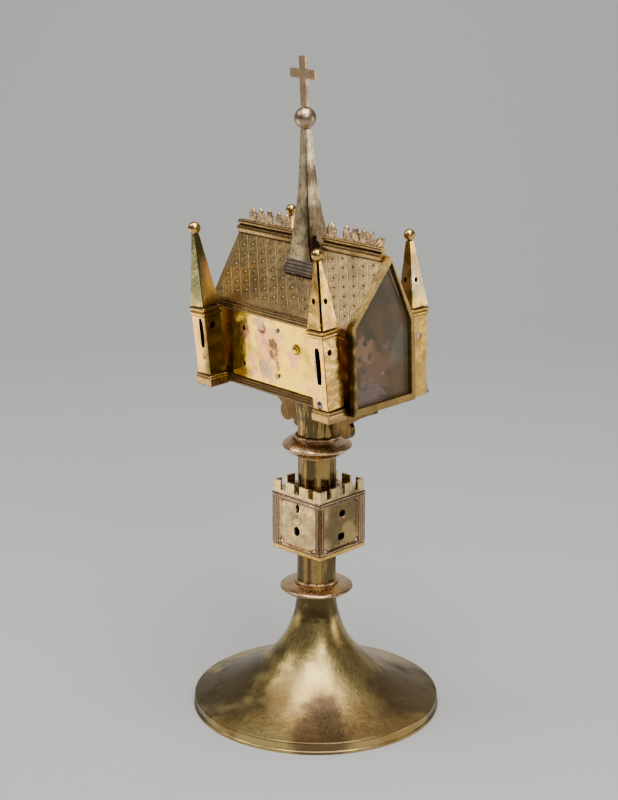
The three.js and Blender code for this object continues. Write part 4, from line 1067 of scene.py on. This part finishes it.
def knop_relief(k, c, v):
    """Sunken panels between reeded posts, under a course of rolls and over a rolled foot."""
    half, slab, body = KNOP.half, KNOP.slab, KNOP.body
    x = c * half
    u, edge = x + 40 * k, half - abs(x)
    low, high = slab + ROLL, body - 0.3
    height = 0.10 * rough(u, v, 0, 6, 31) + 0.05 * rough(u, v, 0, 2, 32)
    if v > body:
        return height * 0.4 + 0.35 + 0.45 * abs(math.sin(math.pi * (v - body) / ROLL))
    if v < low:
        return 0.25 + 0.35 * math.sin(math.pi * (v - slab) / ROLL)
    across, up = abs(x) / (half - POSTS), abs(v - (low + high) / 2) / (high - low) * 2
    panel = 1 - smooth(0.95, 1.02, (across ** 7 + up ** 7) ** (1 / 7))
    reeds = 0.5 * abs(math.cos(math.pi * edge / 1.25)) if edge < 3.2 else 0
    height += (1 - panel) * (0.1 + reeds) - panel
    if k == 0:
        height -= panel * 0.5 * bump_at(math.hypot((x - 2.2) * 0.8, (v - 98.8) * 0.7), 2.6)
        height -= panel * 0.3 * bump_at(math.hypot(x - 0.8, (v - 103.5) * 0.7), 2.8)
    if k == 3:
        height -= panel * 0.4 * bump_at(math.hypot((x + 1.5) * 0.7, v - 100.6), 2.9)
    return height + panel * 0.35 * rough(u, v, 0, 9, 33)


made = folded("knop_body_sheet", lambda v: KNOP.half, 0.02, (KNOP.slab, KNOP.course), 0.36, 2.2,
              knop_relief, KNOP_AT, knop_gilt, KNOP_CUTS)
piece(made, "worn_gilt", "knop_body")

# ---- the CAD pieces that stay

# By the start of a node's name, the first that fits.
FINISH = {
    "turret_": turret_gilt, "plinth": trim_dark, "cornice": trim, "ridge": trim, "cresting": trim,
    "cross": cross_gilt, "spire_flange": slate, "spire": spire_gilt, "gable_pane": pane_glass,
    "gable_frame": frame_gilt, "casket_floor": trim, "knop_slab": turret_gilt, "knop": knop_gilt,
    "lower_stem": stem_gilt, "upper_stem": stem_gilt, "top_stem": stem_gilt, "bracket": shaded_bronze,
    "wall_rivet": silver, "solder": silver, "wall_boss": wall_gilt, "": gilt,
}
EDGE = {"gable_pane": 0.05, "wall_rivet": 0.05, "cross": 0.35, "": 0.22}


def first_fit(table, name):
    return next(value for start, value in table.items() if name.startswith(start))


for name, thing in nodes.items():
    thing.data.materials.clear()
    thing.data.materials.append(first_fit(FINISH, name))
    bevel = thing.modifiers.new("edges", "BEVEL")
    bevel.width = first_fit(EDGE, name) * MM
    bevel.segments = 2
    bevel.limit_method = "ANGLE"
    bevel.angle_limit = deg(28)

# ---- floor, light and camera

PAPER = (0.52, 0.52, 0.51)


def paper():
    s = Shader("paper")
    shade = s.mix(s.noise(400, 2), PAPER, tuple(c * 0.97 for c in PAPER))
    s.fill(s.bsdf, Base_Color=shade, Roughness=0.8)
    return s.material


def sweep():
    """A plain paper sweep that curves up far behind the object, in millimetres."""
    right, away = Vector((0.666, 0.746, 0)), Vector((-0.746, 0.666, 0))
    flat, bend, height, half = 700, 500, 2200, 2200
    profile = [(-1600, 0), (flat, 0)]
    for i in range(1, 13):
        a = deg(90 * i / 12)
        profile.append((flat + bend * math.sin(a), bend * (1 - math.cos(a))))
    profile.append((flat + bend, height))
    points = [away * d + right * w + Vector((0, 0, h)) for d, h in profile for w in (-half, half)]
    faces = [(2 * i, 2 * i + 1, 2 * i + 3, 2 * i + 2) for i in range(len(profile) - 1)]
    mesh_object("floor", points, faces, WORLD, paper(), 60)


sweep()


def lamp(name, at, aim, size, power, colour=(1, 1, 1)):
    """An area lamp, in metres and watts."""
    data = bpy.data.lights.new(name, "AREA")
    data.shape = "RECTANGLE"
    data.size, data.size_y = size
    data.energy = power
    data.color = colour
    thing = bpy.data.objects.new(name, data)
    thing.location = at
    thing.rotation_euler = (Vector(aim) - Vector(at)).to_track_quat("-Z", "Y").to_euler()
    bpy.context.scene.collection.objects.link(thing)


AIM = (0, 0, 0.16)
WARM = (1.0, 0.86, 0.62)
lamp("key", (-0.75, -0.75, 1.15), AIM, (0.5, 0.4), 3.8, (1.0, 0.97, 0.92))
lamp("top", (0.22, -0.17, 1.35), AIM, (1.05, 1.05), 25)
lamp("front", (1.06, -0.45, 0.95), AIM, (0.4, 0.4), 4)
# Two lamps lie on the floor and shine up, where the front faces mirror them.
lamp("low_left", (-0.36, -0.33, 0.012), (-0.36, -0.33, 1), (0.34, 0.34), 0.74, WARM)
lamp("low_left_far", (-0.60, -0.55, 0.012), (-0.6, -0.55, 1), (0.3, 0.3), 0.60, WARM)
lamp("low_right", (0.85, 0.74, 0.16), (0, 0, 0.22), (0.34, 0.34), 1.35, (1.0, 0.95, 0.84))

world = bpy.data.worlds.new("studio")
bpy.context.scene.world = world
world.use_nodes = True
background = world.node_tree.nodes["Background"].inputs
background["Color"].default_value = (0.8, 0.82, 0.85, 1)
background["Strength"].default_value = 0.13

# The camera was fitted to the photograph: its place in millimetres, and its axes.
camera_data = bpy.data.cameras.new("camera")
camera_data.lens = 87.47
camera_data.sensor_width = 36
camera_data.clip_end = 20
camera = bpy.data.objects.new("camera", camera_data)
place = Vector((653.710, -590.066, 413.524)) * MM
right = (0.66593, 0.74601, 0.00361)
up = (-0.21276, 0.18529, 0.95938)
back = (0.71503, -0.63964, 0.28211)
camera.matrix_world = Matrix.Translation(place) @ Matrix((right, up, back)).transposed().to_4x4()
bpy.context.scene.collection.objects.link(camera)
bpy.context.scene.camera = camera
